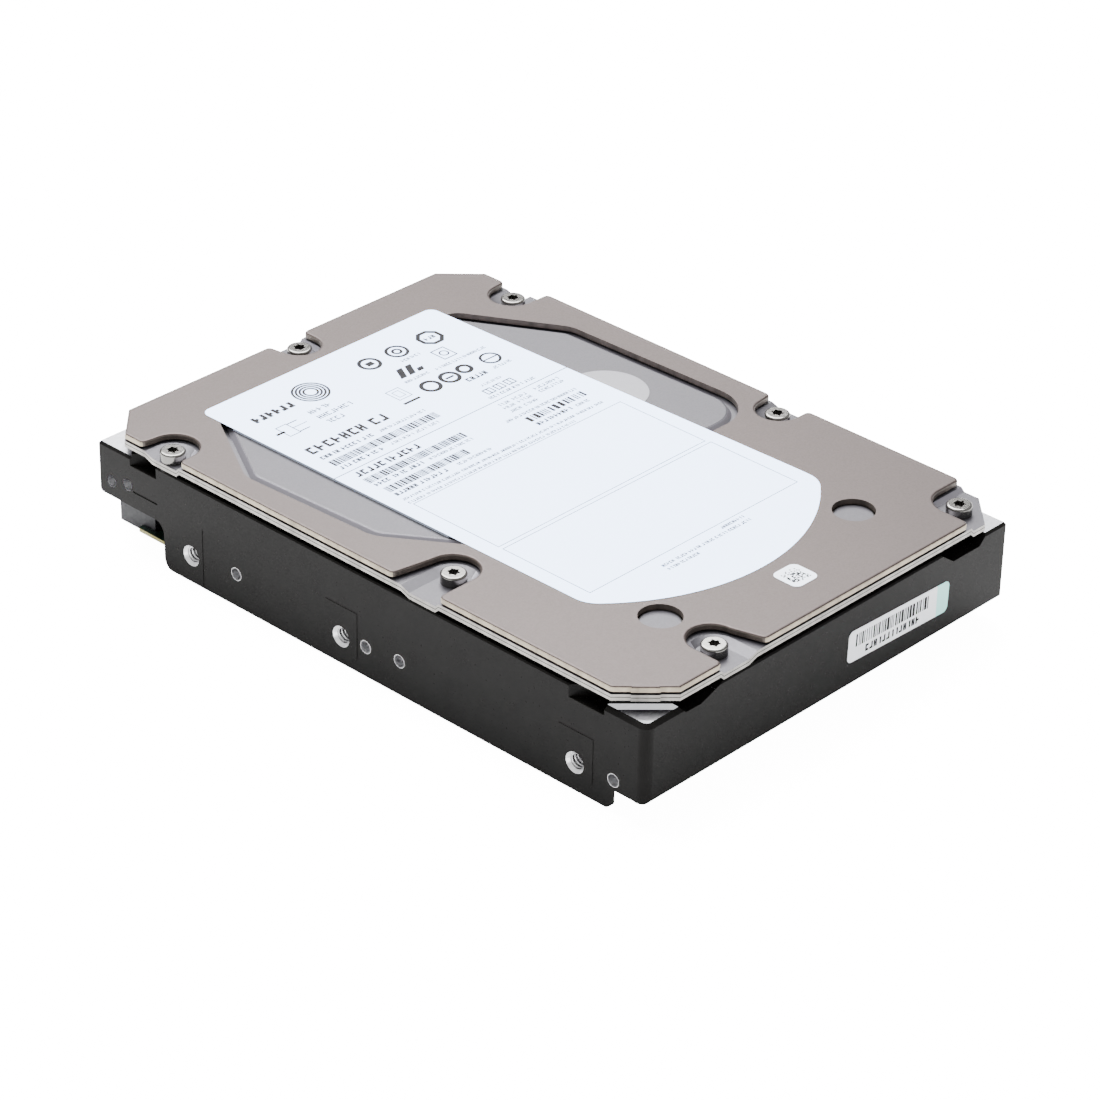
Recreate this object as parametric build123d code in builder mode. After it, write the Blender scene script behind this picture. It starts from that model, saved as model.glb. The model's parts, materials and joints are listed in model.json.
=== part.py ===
from build123d import *
import os
from math import atan2, cos, degrees, hypot, radians, sin

# 3.5-inch serial-attached hard disk drive, in millimetres.
# X is the width, Y the length with the connector at +Y, Z is up.
# The origin is on the underside of the side rails, in the middle of the drive.

os.makedirs("parts", exist_ok=True)

# ---------------------------------------------------------------- envelope
width = 101.6
length = 147.0
height = 26.1
half_width = width / 2
front_y = -length / 2
connector_y = length / 2
casting_front_y = front_y + 0.08
casting_rear_y = 71.6

# ---------------------------------------------------------------- casting
rim_z = 22.05
pad_z = 21.36
arm_bottom_z = 10.3
front_bottom_z = 4.8
rail_front_y = -66.35
rail_rear_y = 52.8
rail_width = 6.35
underside_z = 3.6
floor_z = 5.6
belly_rear_y = 59.5
step_z = 13.7
step_depth = 0.09
step_rear_y = 41.7
near_corner_r = 2.0
corner_r = 0.6

# ---------------------------------------------------------------- standard mounting holes
screw_minor_r = 1.45
countersink_r = 2.2
mount_depth = 4.6
side_hole_z = 6.35
side_hole_y = (connector_y - 28.5, connector_y - 28.5 - 41.61, connector_y - 28.5 - 101.6)
bottom_hole_x = 47.625
bottom_hole_y = (connector_y - 41.28, connector_y - 41.28 - 44.45)
tooling_hole_r = 1.3
tooling_hole_depth = 2.5
tooling_holes = ((67.76, 13.74), (63.05, 14.79), (32.28, 7.6), (-3.11, 6.87), (-12.02, 7.71), (-65.83, 6.87))

# ---------------------------------------------------------------- covers
cover_z = 23.1
cover_top_z = 24.4
lower_sheet = 0.6
film_sheet = 0.17
upper_sheet = cover_top_z - cover_z - lower_sheet - film_sheet
dip_depth = 0.8
plateau_rise = 1.1
plate_z = 24.85
plate_top_z = 26.0
label_thickness = height - plate_top_z
plate_half_x = 50.6
plate_right_x = 50.7
plate_tab_x = 48.45
plate_front_y = -73.2
plate_rear_y = 70.4
window_gap = 1.3

# Outlines are lists of corner points; the radii beside them round the corners.
plate_corners = (
    (-plate_half_x, -64.6),
    (-42.05, plate_front_y),
    (plate_right_x, plate_front_y),
    (plate_right_x, 52.0),
    (plate_tab_x, 52.0),
    (plate_tab_x, 62.87),
    (41.0, plate_rear_y),
    (-43.6, plate_rear_y),
    (-plate_half_x, 63.5),
)
window_corners = (
    (-34.0, 55.0),
    (-45.5, 34.8),
    (-43.9, 1.9),
    (-31.6, -15.8),
    (45.0, -15.8),
    (43.6, 33.6),
    (30.9, 55.2),
)
window_radii = (4.0, 6.0, 7.0, 6.0, 9.5, 6.0, 4.0)

# Cover screws: centre, direction to the nearest edge, notch radius, flare of its open side, notch centre.
cover_screw_sites = (
    ((-48.0, 52.6), (-1, 0), 5.0, 0.8, (-47.4, 53.0)),
    ((-42.1, -17.5), (-1, 0), 5.05, 1.0, (-41.6, -16.9)),
    ((-26.7, -67.5), (0, -1), 4.8, 1.6, (-26.0, -66.45)),
    ((-1.6, 66.3), (0, 1), 4.4, 0.8, (-1.2, 66.8)),
    ((44.95, 51.5), (1, 0), 4.85, 0.6, (45.4, 52.1)),
    ((46.3, -19.4), (1, 0), 4.6, 0.6, (47.1, -18.9)),
)
corner_screw = (43.6, -67.1)
corner_notch_centre = (44.3, -67.0)
corner_notch_r = 5.4
corner_chamfer_sum = 117.1
screw_head_r = 2.55
screw_head_h = 2.1
screw_shank_r = 1.1
screw_hole_r = 1.15
screw_length = 7.0
round_hole_x = 27.1
round_hole_y = -54.9
round_hole_r = 4.2
seal_centre = (28.9, 10.4)
seal_r = 8.6

# ---------------------------------------------------------------- spindle
spindle = (0.0, -28.0)
bowl_r = 37.0
disk_r = 35.0
disk_bore_r = 12.55
disk_thickness = 1.0
disk_pitch = 3.4
middle_disk_z = 12.5
hub_r = 12.5
clamp_r = 15.6
shaft_r = 2.0
shaft_clearance = 0.03

# ---------------------------------------------------------------- actuator
pivot = seal_centre
park_angle = 254.5
head_reach = 41.0
arm_reach = 30.0
block_r = 8.6
pivot_sleeve_r = 6.3
pivot_shaft_r = 2.5
coil_mid_z = 13.0
arm_thickness = 1.0
chamber_corners = (
    (-42.0, 33.0),
    (-42.0, 1.0),
    (-30.0, -16.0),
    (38.0, -17.5),
    (45.0, -10.0),
    (45.0, 40.0),
    (36.0, 54.0),
    (28.0, 57.0),
    (-31.0, 57.0),
)
chamber_radii = (5.0, 5.0, 2.0, 3.0, 3.0, 4.0, 3.0, 4.0, 5.0)

# ---------------------------------------------------------------- board and connector
board_z = 1.0
board_thickness = 0.8
board_half_x = 43.7
board_wide_x = 45.8
board_wide_y = 53.6
board_rear_y = 66.4
chip_height = 1.0
connector_centre_x = -20.68
connector_half_x = 23.78
connector_body_y = 62.7
board_screw_sites = ((-39.5, 48.0), (39.5, 54.0), (-39.5, 8.0), (39.5, 8.0), (-29.0, -17.0), (29.0, -17.0))


def polar_point(centre, radius, angle):
    """Returns the point at a radius and an angle in degrees from a centre."""
    return (centre[0] + radius * cos(radians(angle)), centre[1] + radius * sin(radians(angle)))


def polygon(corners, mode=Mode.ADD):
    """Adds a polygon with sharp corners to the open sketch."""
    with BuildLine() as outline:
        Polyline(*corners, close=True)
    make_face(outline.edges(), mode=mode)


def rounded_polygon(corners, radii, mode=Mode.ADD):
    """Adds a polygon with rounded corners to the open sketch."""
    with BuildLine() as outline:
        FilletPolyline(*corners, radius=list(radii), close=True)
    make_face(outline.edges(), mode=mode)


def ring_sector(centre, inner_r, outer_r, start, end, mode=Mode.ADD):
    """Adds a flat ring sector to the open sketch."""
    with BuildLine() as outline:
        inner = CenterArc(centre, inner_r, start, end - start)
        outer = CenterArc(centre, outer_r, start, end - start)
        Line(inner @ 0, outer @ 0)
        Line(inner @ 1, outer @ 1)
    make_face(outline.edges(), mode=mode)


def box_between(low, high, mode=Mode.ADD):
    """Adds a box to the open part, given its low and high corners."""
    middle = tuple((a + b) / 2 for a, b in zip(low, high))
    size = [b - a for a, b in zip(low, high)]
    with Locations(middle):
        Box(*size, mode=mode)


def disc(centre, radius, low_z, high_z, mode=Mode.ADD):
    """Adds an upright cylinder to the open part."""
    with Locations((centre[0], centre[1], (low_z + high_z) / 2)):
        Cylinder(radius, high_z - low_z, mode=mode)


def ring(centre, inner_r, outer_r, low_z, high_z):
    """Adds an upright ring to the open part."""
    with BuildSketch(Plane.XY.offset(low_z)) as face:
        with Locations(centre):
            Circle(outer_r)
            Circle(inner_r, mode=Mode.SUBTRACT)
    extrude(face.sketch, amount=high_z - low_z)


def site_plane(site, low_z):
    """Returns a plane at a cover screw, with its x axis pointing out to the nearest edge."""
    return Plane(origin=(site[0][0], site[0][1], low_z), x_dir=(site[1][0], site[1][1], 0), z_dir=(0, 0, 1))


def notch_plane(site, low_z):
    """Returns a plane at a notch's centre, with its x axis pointing out to the nearest edge."""
    return Plane(origin=(site[4][0], site[4][1], low_z), x_dir=(site[1][0], site[1][1], 0), z_dir=(0, 0, 1))


def flare_side(site):
    """Says on which side of a notch its wider shoulder lies, in the notch's own plane."""
    return -1 if site[1][0] < 0 else 1


def open_slot(near_side, far_side, inner_r):
    """Adds a slot that is round at its inner end and runs out past the edge along +x."""
    reach = 16.0
    Circle(inner_r)
    polygon(((0, -inner_r), (reach, -near_side), (reach, far_side), (0, inner_r)))


def notch_cut(site, low_z, amount):
    """Cuts the open notch that leaves room for one cover screw."""
    flare = site[3] * 3.0
    side = flare_side(site)
    radius = site[2]
    with BuildSketch(notch_plane(site, low_z)) as opening:
        if side > 0:
            open_slot(radius, radius + flare, radius)
        else:
            open_slot(radius + flare, radius, radius)
    extrude(opening.sketch, amount=amount, mode=Mode.SUBTRACT)


def dip_slot(site, grow, flat_side):
    """Draws one level of a sunk screw pad: wide at the top, narrow at the bottom."""
    side = flare_side(site)
    narrow = 3.8 + grow
    wide = flat_side
    radius = (narrow + wide) / 2
    shift = side * (wide - narrow) / 2
    with Locations((0, shift)):
        Circle(radius)
    with Locations((10.0, shift)):
        Rectangle(20.0, 2 * radius)


def chamfer_mask(limit_sum, sign_x, sign_y):
    """Draws the triangle beyond a 45-degree corner line, where sign_x*x + sign_y*y exceeds limit_sum."""
    reach = 90.0
    polygon(
        (
            (sign_x * (limit_sum - reach), sign_y * reach),
            (sign_x * reach, sign_y * (limit_sum - reach)),
            (sign_x * reach, sign_y * reach),
        )
    )


# ================================================================ base casting
side_profile = (
    (casting_front_y, front_bottom_z),
    (rail_front_y, front_bottom_z),
    (rail_front_y, 0),
    (rail_rear_y, 0),
    (rail_rear_y, arm_bottom_z),
    (casting_rear_y, arm_bottom_z),
    (casting_rear_y, rim_z),
    (casting_front_y, rim_z),
)
side_radii = (0.8, 0.8, 3.8, 3.0, 2.5, 1.5, 0, 0)
plan_outline = (
    (-half_width, casting_front_y),
    (half_width, casting_front_y),
    (half_width, casting_rear_y),
    (-half_width, casting_rear_y),
)
plan_radii = (near_corner_r, corner_r, corner_r, corner_r)
end_outline = ((-half_width, 0), (half_width, 0), (half_width, height), (-half_width, height))
end_radii = (0.8, 0.8, 0, 0)
inner_rail_x = half_width - rail_width
pad_cut_sums = {(-1, -1): 112.9, (-1, 1): 112.4, (1, 1): 109.7, (1, -1): 115.1}
near_pad_bevel = 0.85
pad_bevel = 0.5
boss_rise = 0.25
well_r = 13.0
well_outer_r = 14.6
well_bottom_z = 1.6
well_floor_z = 3.2
boss_r = 5.8
boss_top_z = 8.0
sleeve_r = 4.3
front_pockets = (
    ((-43.2, rim_z + 1), (-40.6, 20.1), (-36.6, 20.0), (-28.0, rim_z + 1)),
    ((46.2, rim_z + 1), (42.5, 19.4), (34.6, 19.4), (29.4, rim_z + 1)),
)
front_pocket_depth = 3.4
side_pocket_z = 19.45

with BuildPart() as base_casting:
    # one side profile gives the rails, the raised front and the raised connector end
    with BuildSketch(Plane.YZ):
        rounded_polygon(side_profile, side_radii)
    extrude(amount=half_width, both=True)
    # rounded upright corners and rounded lower long edges
    with BuildSketch(Plane.XY):
        rounded_polygon(plan_outline, plan_radii)
    extrude(amount=height, mode=Mode.INTERSECT)
    with BuildSketch(Plane.XZ):
        rounded_polygon(end_outline, end_radii)
    extrude(amount=length, both=True, mode=Mode.INTERSECT)
    # bare machined pads at the four corners, 0.7 below the rim
    for (sign_x, sign_y), limit_sum in pad_cut_sums.items():
        with BuildSketch(Plane.XY.offset(pad_z)):
            chamfer_mask(limit_sum, sign_x, sign_y)
        extrude(amount=2.0, mode=Mode.SUBTRACT)
    rim_edges = base_casting.faces().sort_by(Axis.Z)[-1].outer_wire().edges()
    outline_edges = ShapeList(
        [e for e in rim_edges if abs(abs(e.center().X) - half_width) < 0.1 or abs(e.center().Y) > 71.0]
    )
    chamfer(outline_edges, length=0.3)
    for near_corner, bevel in ((True, near_pad_bevel), (False, pad_bevel)):
        pad_edges = []
        for edge in base_casting.edges():
            spot = edge.center()
            on_rim = abs(spot.X) > 50.2 or abs(spot.Y) > 71.2
            if abs(spot.Z - pad_z) < 0.01 and on_rim and (spot.X < 0 and spot.Y < 0) == near_corner:
                pad_edges.append(edge)
        chamfer(pad_edges, length=bevel)
    # room for the circuit board between the rails, and for the connector behind the belly
    box_between((-inner_rail_x, -66.0, -1), (inner_rail_x, belly_rear_y, underside_z), Mode.SUBTRACT)
    box_between((-inner_rail_x, belly_rear_y, -1), (inner_rail_x, connector_y, arm_bottom_z), Mode.SUBTRACT)
    box_between((-inner_rail_x, rail_front_y - 1, -1), (inner_rail_x, -65.9, underside_z), Mode.SUBTRACT)
    # motor boss under the belly
    disc(spindle, well_outer_r, well_bottom_z, underside_z + 0.5)
    # chamber for the disks and the actuator
    with BuildSketch(Plane.XY.offset(floor_z)):
        with Locations(spindle):
            Circle(bowl_r)
        rounded_polygon(chamber_corners, chamber_radii)
    extrude(amount=rim_z - floor_z + 1, mode=Mode.SUBTRACT)
    disc(spindle, well_r, well_floor_z, floor_z + 0.1, Mode.SUBTRACT)
    disc(spindle, boss_r, well_floor_z - 0.1, boss_top_z)
    disc(spindle, boss_r + 0.9, well_floor_z - 0.1, 5.2)
    disc(spindle, sleeve_r, 0, boss_top_z + 1, Mode.SUBTRACT)
    # seat and bore of the pivot
    disc(pivot, 5.0, floor_z - 0.1, 6.8)
    disc(pivot, pivot_shaft_r, 2.0, 8.0, Mode.SUBTRACT)
    # cover screw bosses stand a little above the rim
    for site in cover_screw_sites:
        disc(site[0], 2.7, rim_z - 0.5, rim_z + boss_rise)
        disc(site[0], screw_hole_r, rim_z - 8.0, rim_z + 1, Mode.SUBTRACT)
    disc(corner_screw, 3.2, rim_z - 1.0, rim_z + boss_rise)
    disc(corner_screw, screw_hole_r, rim_z - 8.0, rim_z + 1, Mode.SUBTRACT)
    # triangular pockets under the covers along both sides
    for side in (-1, 1):
        for start_y, run in ((-54.7, 8.6), (62.2, 7.6)):
            with BuildSketch(Plane.XY.offset(side_pocket_z)):
                polygon(
                    (
                        (side * (half_width + 1), start_y + 1),
                        (side * (half_width - run), start_y - run),
                        (side * (half_width + 1), start_y - run),
                    )
                )
            extrude(amount=4, mode=Mode.SUBTRACT)
    # two long pockets in the front face
    for pocket_outline in front_pockets:
        with BuildSketch(Plane.XZ.offset(-casting_front_y - front_pocket_depth)):
            polygon(pocket_outline)
        extrude(amount=front_pocket_depth + 1, mode=Mode.SUBTRACT)
    # the front ends of the rails are cut back at a slant under the raised front
    for side in (-1, 1):
        with BuildSketch(Plane.XY.offset(-1)):
            polygon(((side * 51.8, -67.4), (side * 43.9, -59.5), (side * 43.9, -67.4)))
        extrude(amount=front_bottom_z + 1, mode=Mode.SUBTRACT)
    # lower part of each side is set back, and full width again in a U round each threaded hole
    for side in (-1, 1):
        with BuildSketch(Plane.YZ.offset(side * (half_width - step_depth))):
            polygon(((-71.0, -1), (step_rear_y, -1), (step_rear_y, step_z), (-71.0, step_z)))
            for hole_y in side_hole_y[1:]:
                with Locations((hole_y, 7.7)):
                    RectangleRounded(8.5, 10.7, 1.6, mode=Mode.SUBTRACT)
                with Locations((hole_y, 11.0)):
                    Rectangle(8.5, 4.1, mode=Mode.SUBTRACT)
        extrude(amount=side * 1.0, mode=Mode.SUBTRACT)
        box_between(
            (side * half_width - 0.2, 54.5, step_z),
            (side * half_width + 0.2, 61.5, step_z + 0.35),
            Mode.SUBTRACT,
        )
    # side mounting holes and small blind tooling holes
    for side in (-1, 1):
        face = Plane(origin=(side * half_width, 0, 0), x_dir=(0, side, 0), z_dir=(side, 0, 0))
        with Locations(face):
            for hole_y in side_hole_y:
                with Locations((side * hole_y, side_hole_z)):
                    CounterSinkHole(screw_minor_r, countersink_r, mount_depth, 90)
            for hole_y, hole_z in tooling_holes:
                with Locations((side * hole_y, hole_z)):
                    Hole(tooling_hole_r, tooling_hole_depth)
    # bottom mounting holes
    with Locations(Plane(origin=(0, 0, 0), x_dir=(1, 0, 0), z_dir=(0, 0, -1))):
        for hole_x in (-bottom_hole_x, bottom_hole_x):
            for hole_y in bottom_hole_y:
                with Locations((hole_x, -hole_y)):
                    CounterSinkHole(screw_minor_r, screw_minor_r + 0.6, mount_depth, 90)
    # posts that carry the circuit board
    for site in board_screw_sites:
        disc(site, 2.9, board_z + board_thickness, underside_z + 0.1)
        disc(site, screw_hole_r, 0, 5.0, Mode.SUBTRACT)
    # slot for the head connector and the breather hole
    box_between((-7.0, 43.0, 3.0), (9.0, 49.0, floor_z + 1), Mode.SUBTRACT)
    disc((-30.0, 38.0), 0.8, 3.0, floor_z + 1, Mode.SUBTRACT)
base_casting.part.label = "base_casting"
export_step(base_casting.part, "parts/base_casting.step")

# ================================================================ gasket and covers
gasket_inner = 0.7
gasket_outer = 2.9
with BuildSketch() as chamber_track:
    with Locations(spindle):
        Circle(bowl_r)
    rounded_polygon(chamber_corners, chamber_radii)


def facet_tab(height):
    """Adds the low tab in the middle of the front-left facet."""
    start_x, start_y = plate_corners[0]
    end_x, end_y = plate_corners[1]
    heading = degrees(atan2(end_y - start_y, end_x - start_x))
    with Locations(Location(((start_x + end_x) / 2, (start_y + end_y) / 2, 0), (0, 0, heading))):
        Rectangle(5.2, 2 * height)


def cover_outline(margin):
    """Draws the inner cover's outline, a little larger than the top plate's."""
    polygon(plate_corners)
    offset(amount=margin, kind=Kind.INTERSECTION)
    facet_tab(margin + 0.25)
    corner = ((corner_chamfer_sum - 90.0, -90.0), (90.0, 90.0 - corner_chamfer_sum), (90.0, -90.0))
    polygon(corner, mode=Mode.SUBTRACT)


def corner_pad_outline(inset):
    """Draws the sunk pad in the front-right corner."""
    side_x = 39.6 + inset
    side_y = -62.0 - inset
    polygon(((side_x, -80), (side_x, side_y), (60, side_y), (60, -80)))


def pressed_cover_body(drop):
    """Builds the solid under the inner cover's formed surface, lowered by drop."""
    top_z = cover_top_z - drop
    with BuildPart() as body:
        with BuildSketch(Plane.XY.offset(20.0 - drop)):
            cover_outline(0.1)
        extrude(amount=cover_top_z - 20.0)
        for site in cover_screw_sites:
            with BuildSketch(site_plane(site, top_z)):
                dip_slot(site, 0.8, 5.1)
            with BuildSketch(site_plane(site, top_z - dip_depth)):
                dip_slot(site, 0.0, 2.9)
            loft(mode=Mode.SUBTRACT)
        with BuildSketch(Plane.XY.offset(top_z)):
            corner_pad_outline(0.0)
        with BuildSketch(Plane.XY.offset(top_z - dip_depth)):
            corner_pad_outline(0.8)
        loft(mode=Mode.SUBTRACT)
        with BuildSketch(Plane.XY.offset(top_z)):
            rounded_polygon(window_corners, window_radii)
            offset(amount=-window_gap)
        extrude(amount=plateau_rise, taper=40)
        plateau_edges = body.faces().sort_by(Axis.Z)[-1].outer_wire().edges()
        fillet(plateau_edges, radius=0.5)
        for side in (-1, 1):
            with BuildSketch(Plane.XY.offset(top_z)):
                with Locations((side * round_hole_x, round_hole_y)):
                    Circle(4.3)
            extrude(amount=0.42, taper=40)
    return body.part


screw_sites = [site[0] for site in cover_screw_sites] + [corner_screw]
depths = (0.0, upper_sheet, upper_sheet + film_sheet, cover_top_z - cover_z)
cover_bodies = [pressed_cover_body(depth) for depth in depths]

with BuildPart() as cover_gasket:
    with BuildSketch(Plane.XY.offset(rim_z)):
        offset(chamber_track.sketch, amount=gasket_outer)
        offset(chamber_track.sketch, amount=gasket_inner, mode=Mode.SUBTRACT)
    extrude(amount=cover_z - rim_z)
    add(cover_bodies[3], mode=Mode.INTERSECT)
cover_gasket.part.label = "cover_gasket"
export_step(cover_gasket.part, "parts/cover_gasket.step")

with BuildPart() as inner_cover_upper:
    add(cover_bodies[0])
    add(cover_bodies[1], mode=Mode.SUBTRACT)
    for site in screw_sites:
        disc(site, screw_hole_r, 20, 27, Mode.SUBTRACT)
inner_cover_upper.part.label = "inner_cover_upper"
export_step(inner_cover_upper.part, "parts/inner_cover_upper.step")

with BuildPart() as inner_cover_film:
    add(cover_bodies[1])
    add(cover_bodies[2], mode=Mode.SUBTRACT)
    for site in screw_sites:
        disc(site, screw_hole_r, 20, 27, Mode.SUBTRACT)
inner_cover_film.part.label = "inner_cover_film"
export_step(inner_cover_film.part, "parts/inner_cover_film.step")

with BuildPart() as inner_cover_lower:
    add(cover_bodies[2])
    add(cover_bodies[3], mode=Mode.SUBTRACT)
    for site in screw_sites:
        disc(site, screw_hole_r, 20, 27, Mode.SUBTRACT)
inner_cover_lower.part.label = "inner_cover_lower"
export_step(inner_cover_lower.part, "parts/inner_cover_lower.step")


def plate_cutouts(low_z, amount, grow):
    """Cuts the seven screw notches, the window and the two round holes through a flat sheet."""
    for site in cover_screw_sites:
        wider = (site[0], site[1], site[2] + grow, site[3], site[4])
        notch_cut(wider, low_z, amount)
    centre_x, centre_y = corner_notch_centre
    side_x = centre_x - corner_notch_r - grow
    side_y = centre_y + corner_notch_r + grow
    with BuildSketch(Plane.XY.offset(low_z)) as corner_cut:
        with Locations(corner_notch_centre):
            Circle(corner_notch_r + grow)
        polygon(((side_x, -80), (side_x, centre_y), (centre_x, side_y), (60, side_y), (60, -80)))
    extrude(corner_cut.sketch, amount=amount, mode=Mode.SUBTRACT)
    with BuildSketch(Plane.XY.offset(low_z)) as openings:
        rounded_polygon(window_corners, window_radii)
        if grow > 0:
            offset(amount=grow)
        with Locations((-round_hole_x, round_hole_y), (round_hole_x, round_hole_y)):
            Circle(round_hole_r + grow)
    extrude(openings.sketch, amount=amount, mode=Mode.SUBTRACT)


with BuildPart() as damping_film:
    with BuildSketch(Plane.XY.offset(cover_top_z)):
        polygon(plate_corners)
        offset(amount=-1.6, kind=Kind.INTERSECTION)
    extrude(amount=plate_z - cover_top_z)
    plate_cutouts(cover_top_z - 0.5, 2.0, 1.6)
damping_film.part.label = "damping_film"
export_step(damping_film.part, "parts/damping_film.step")

with BuildPart() as top_plate:
    with BuildSketch(Plane.XY.offset(plate_z)):
        polygon(plate_corners)
        facet_tab(0.25)
    extrude(amount=plate_top_z - plate_z)
    plate_cutouts(plate_z - 0.5, 2.5, 0.0)
    # round the two edges of every notch shoulder
    shoulders = []
    for edge in top_plate.edges().filter_by(Axis.Z):
        spot = edge.center()
        on_side = min(abs(spot.X - x) for x in (-plate_half_x, plate_right_x, plate_tab_x)) < 0.05
        on_side = on_side and -72 < spot.Y < 62
        on_end = spot.Y > plate_rear_y - 0.05 and abs(spot.X) < 30
        on_front = spot.Y < plate_front_y + 0.05 and -40 < spot.X < 40
        if on_side or on_end or on_front:
            shoulders.append(edge)
    fillet(shoulders, radius=1.2)
    # the top edge of the plate is rounded all the way round
    upper_edges = top_plate.faces().sort_by(Axis.Z)[-1].outer_wire().edges()
    fillet(upper_edges, radius=0.45)
top_plate.part.label = "top_plate"
export_step(top_plate.part, "parts/top_plate.step")

# ================================================================ cover screws
pad_top_z = cover_top_z - dip_depth
socket_depth = 1.1
with BuildPart() as cover_screws:
    for site in screw_sites:
        disc(site, screw_head_r, pad_top_z, pad_top_z + screw_head_h)
        disc(site, screw_shank_r, pad_top_z - screw_length, pad_top_z)
    head_rims = cover_screws.edges().filter_by(GeomType.CIRCLE).group_by(Axis.Z)[-1]
    fillet(head_rims, radius=0.45)
    for site in screw_sites:
        with BuildSketch(Plane.XY.offset(pad_top_z + screw_head_h - socket_depth)):
            with Locations(site):
                Circle(0.95)
                with PolarLocations(0.95, 6):
                    Circle(0.28)
        extrude(amount=socket_depth + 0.1, mode=Mode.SUBTRACT)
cover_screws.part.label = "cover_screws"
export_step(cover_screws.part, "parts/cover_screws.step")

# ================================================================ labels and stickers
label_arc_centre = (-1.0, -11.8)
label_arc_r = 44.8
label_left_rear = (-34.6, 59.4)
label_left_front = (-33.7, -37.0)
label_right_rear = (28.9, 59.4)
label_right_front = (31.4, -38.0)
label_left_low = (-33.7, -60.0)
label_right_low = (31.4, -60.0)
with BuildSketch() as label_trim:
    with Locations((label_arc_centre[0], label_arc_centre[1] - label_arc_r / 2 - 2)):
        Rectangle(3 * label_arc_r, label_arc_r + 4)
    with Locations(label_arc_centre):
        Circle(label_arc_r, mode=Mode.SUBTRACT)
with BuildPart() as main_label:
    with BuildSketch(Plane.XY.offset(plate_top_z)) as label_face:
        polygon((label_left_low, label_left_front, label_left_rear, label_right_rear, label_right_front,
                 label_right_low))
        add(label_trim.sketch, mode=Mode.SUBTRACT)
        rear_points = label_face.vertices().group_by(Axis.Y)[-1]
        fillet(rear_points, radius=2.0)
        lower_points = [v for v in label_face.vertices() if -43.5 < v.Y < -38.5]
        fillet(lower_points, radius=6.0)
    extrude(amount=label_thickness)
main_label.part.label = "main_label"
export_step(main_label.part, "parts/main_label.step")

code_sticker_size = 6.5
with BuildPart() as matrix_sticker:
    with BuildSketch(Plane(origin=(0.9, -62.8, plate_top_z), x_dir=(1, -0.01, 0), z_dir=(0, 0, 1))):
        RectangleRounded(code_sticker_size, code_sticker_size, 1.5)
    extrude(amount=0.08)
matrix_sticker.part.label = "matrix_sticker"
export_step(matrix_sticker.part, "parts/matrix_sticker.step")

bar_sticker_centre = (19.0, 12.9)
with BuildPart() as barcode_sticker:
    sticker_plane = Plane(
        origin=(bar_sticker_centre[0], casting_front_y, bar_sticker_centre[1]),
        x_dir=(cos(radians(1.9)), 0, -sin(radians(1.9))),
        z_dir=(0, -1, 0),
    )
    with BuildSketch(sticker_plane):
        RectangleRounded(29.4, 6.7, 1.2)
    extrude(amount=0.08)
barcode_sticker.part.label = "barcode_sticker"
export_step(barcode_sticker.part, "parts/barcode_sticker.step")

seal_z = cover_top_z + plateau_rise
with BuildPart() as seal_disc:
    disc(seal_centre, seal_r, seal_z, seal_z + 0.1)
seal_disc.part.label = "seal_disc"
export_step(seal_disc.part, "parts/seal_disc.step")

# ================================================================ circuit board
board_top_z = board_z + board_thickness
board_outline = (
    (-board_wide_x, board_rear_y),
    (-board_wide_x, board_wide_y),
    (-board_half_x, board_wide_y),
    (-board_half_x, -21.0),
    (board_half_x, -21.0),
    (board_half_x, board_rear_y),
)
board_radii = (0.6, 0.6, 0.6, 4.0, 4.0, 1.5)
with BuildPart() as circuit_board:
    with BuildSketch(Plane.XY.offset(board_z)):
        rounded_polygon(board_outline, board_radii)
        with Locations(spindle):
            Circle(well_outer_r + 1.6, mode=Mode.SUBTRACT)
        with Locations(*board_screw_sites):
            Circle(1.3, mode=Mode.SUBTRACT)
    extrude(amount=board_thickness)
circuit_board.part.label = "circuit_board"
export_step(circuit_board.part, "parts/circuit_board.step")

foam_z = board_top_z + chip_height
with BuildPart() as board_foam:
    with BuildSketch(Plane.XY.offset(foam_z)):
        rounded_polygon(((-41, 56), (-41, -12), (41, -12), (41, 56)), (3, 3, 3, 3))
        with Locations(*board_screw_sites):
            Circle(4.5, mode=Mode.SUBTRACT)
        with Locations(spindle):
            Circle(well_outer_r + 2.5, mode=Mode.SUBTRACT)
        with Locations((1, 46)):
            Rectangle(20, 10, mode=Mode.SUBTRACT)
    extrude(amount=underside_z - foam_z)
board_foam.part.label = "board_foam"
export_step(board_foam.part, "parts/board_foam.step")

with BuildPart() as board_screws:
    for site in board_screw_sites:
        disc(site, 2.2, 0.15, board_z)
        disc(site, screw_shank_r, board_z, 4.6)
    head_rims = board_screws.edges().filter_by(GeomType.CIRCLE).group_by(Axis.Z)[0]
    fillet(head_rims, radius=0.3)
    for site in board_screw_sites:
        with BuildSketch():
            with Locations(site):
                Circle(0.8)
                with PolarLocations(0.8, 6):
                    Circle(0.24)
        extrude(amount=0.7, mode=Mode.SUBTRACT)
board_screws.part.label = "board_screws"
export_step(board_screws.part, "parts/board_screws.step")

chips = {
    "controller_chip": ((-14.0, 26.0), 17.0, 17.0),
    "memory_chip": ((12.0, 24.0), 8.0, 12.5),
    "motor_driver_chip": ((20.0, 0.0), 10.0, 10.0),
}
for chip_name, (chip_centre, chip_x, chip_y) in chips.items():
    with BuildPart() as chip:
        with BuildSketch(Plane.XY.offset(board_top_z)):
            with Locations(chip_centre):
                RectangleRounded(chip_x, chip_y, 0.4)
        extrude(amount=chip_height)
        chamfer(chip.faces().sort_by(Axis.Z)[-1].outer_wire().edges(), length=0.15)
    chip.part.label = chip_name
    export_step(chip.part, f"parts/{chip_name}.step")

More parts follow.
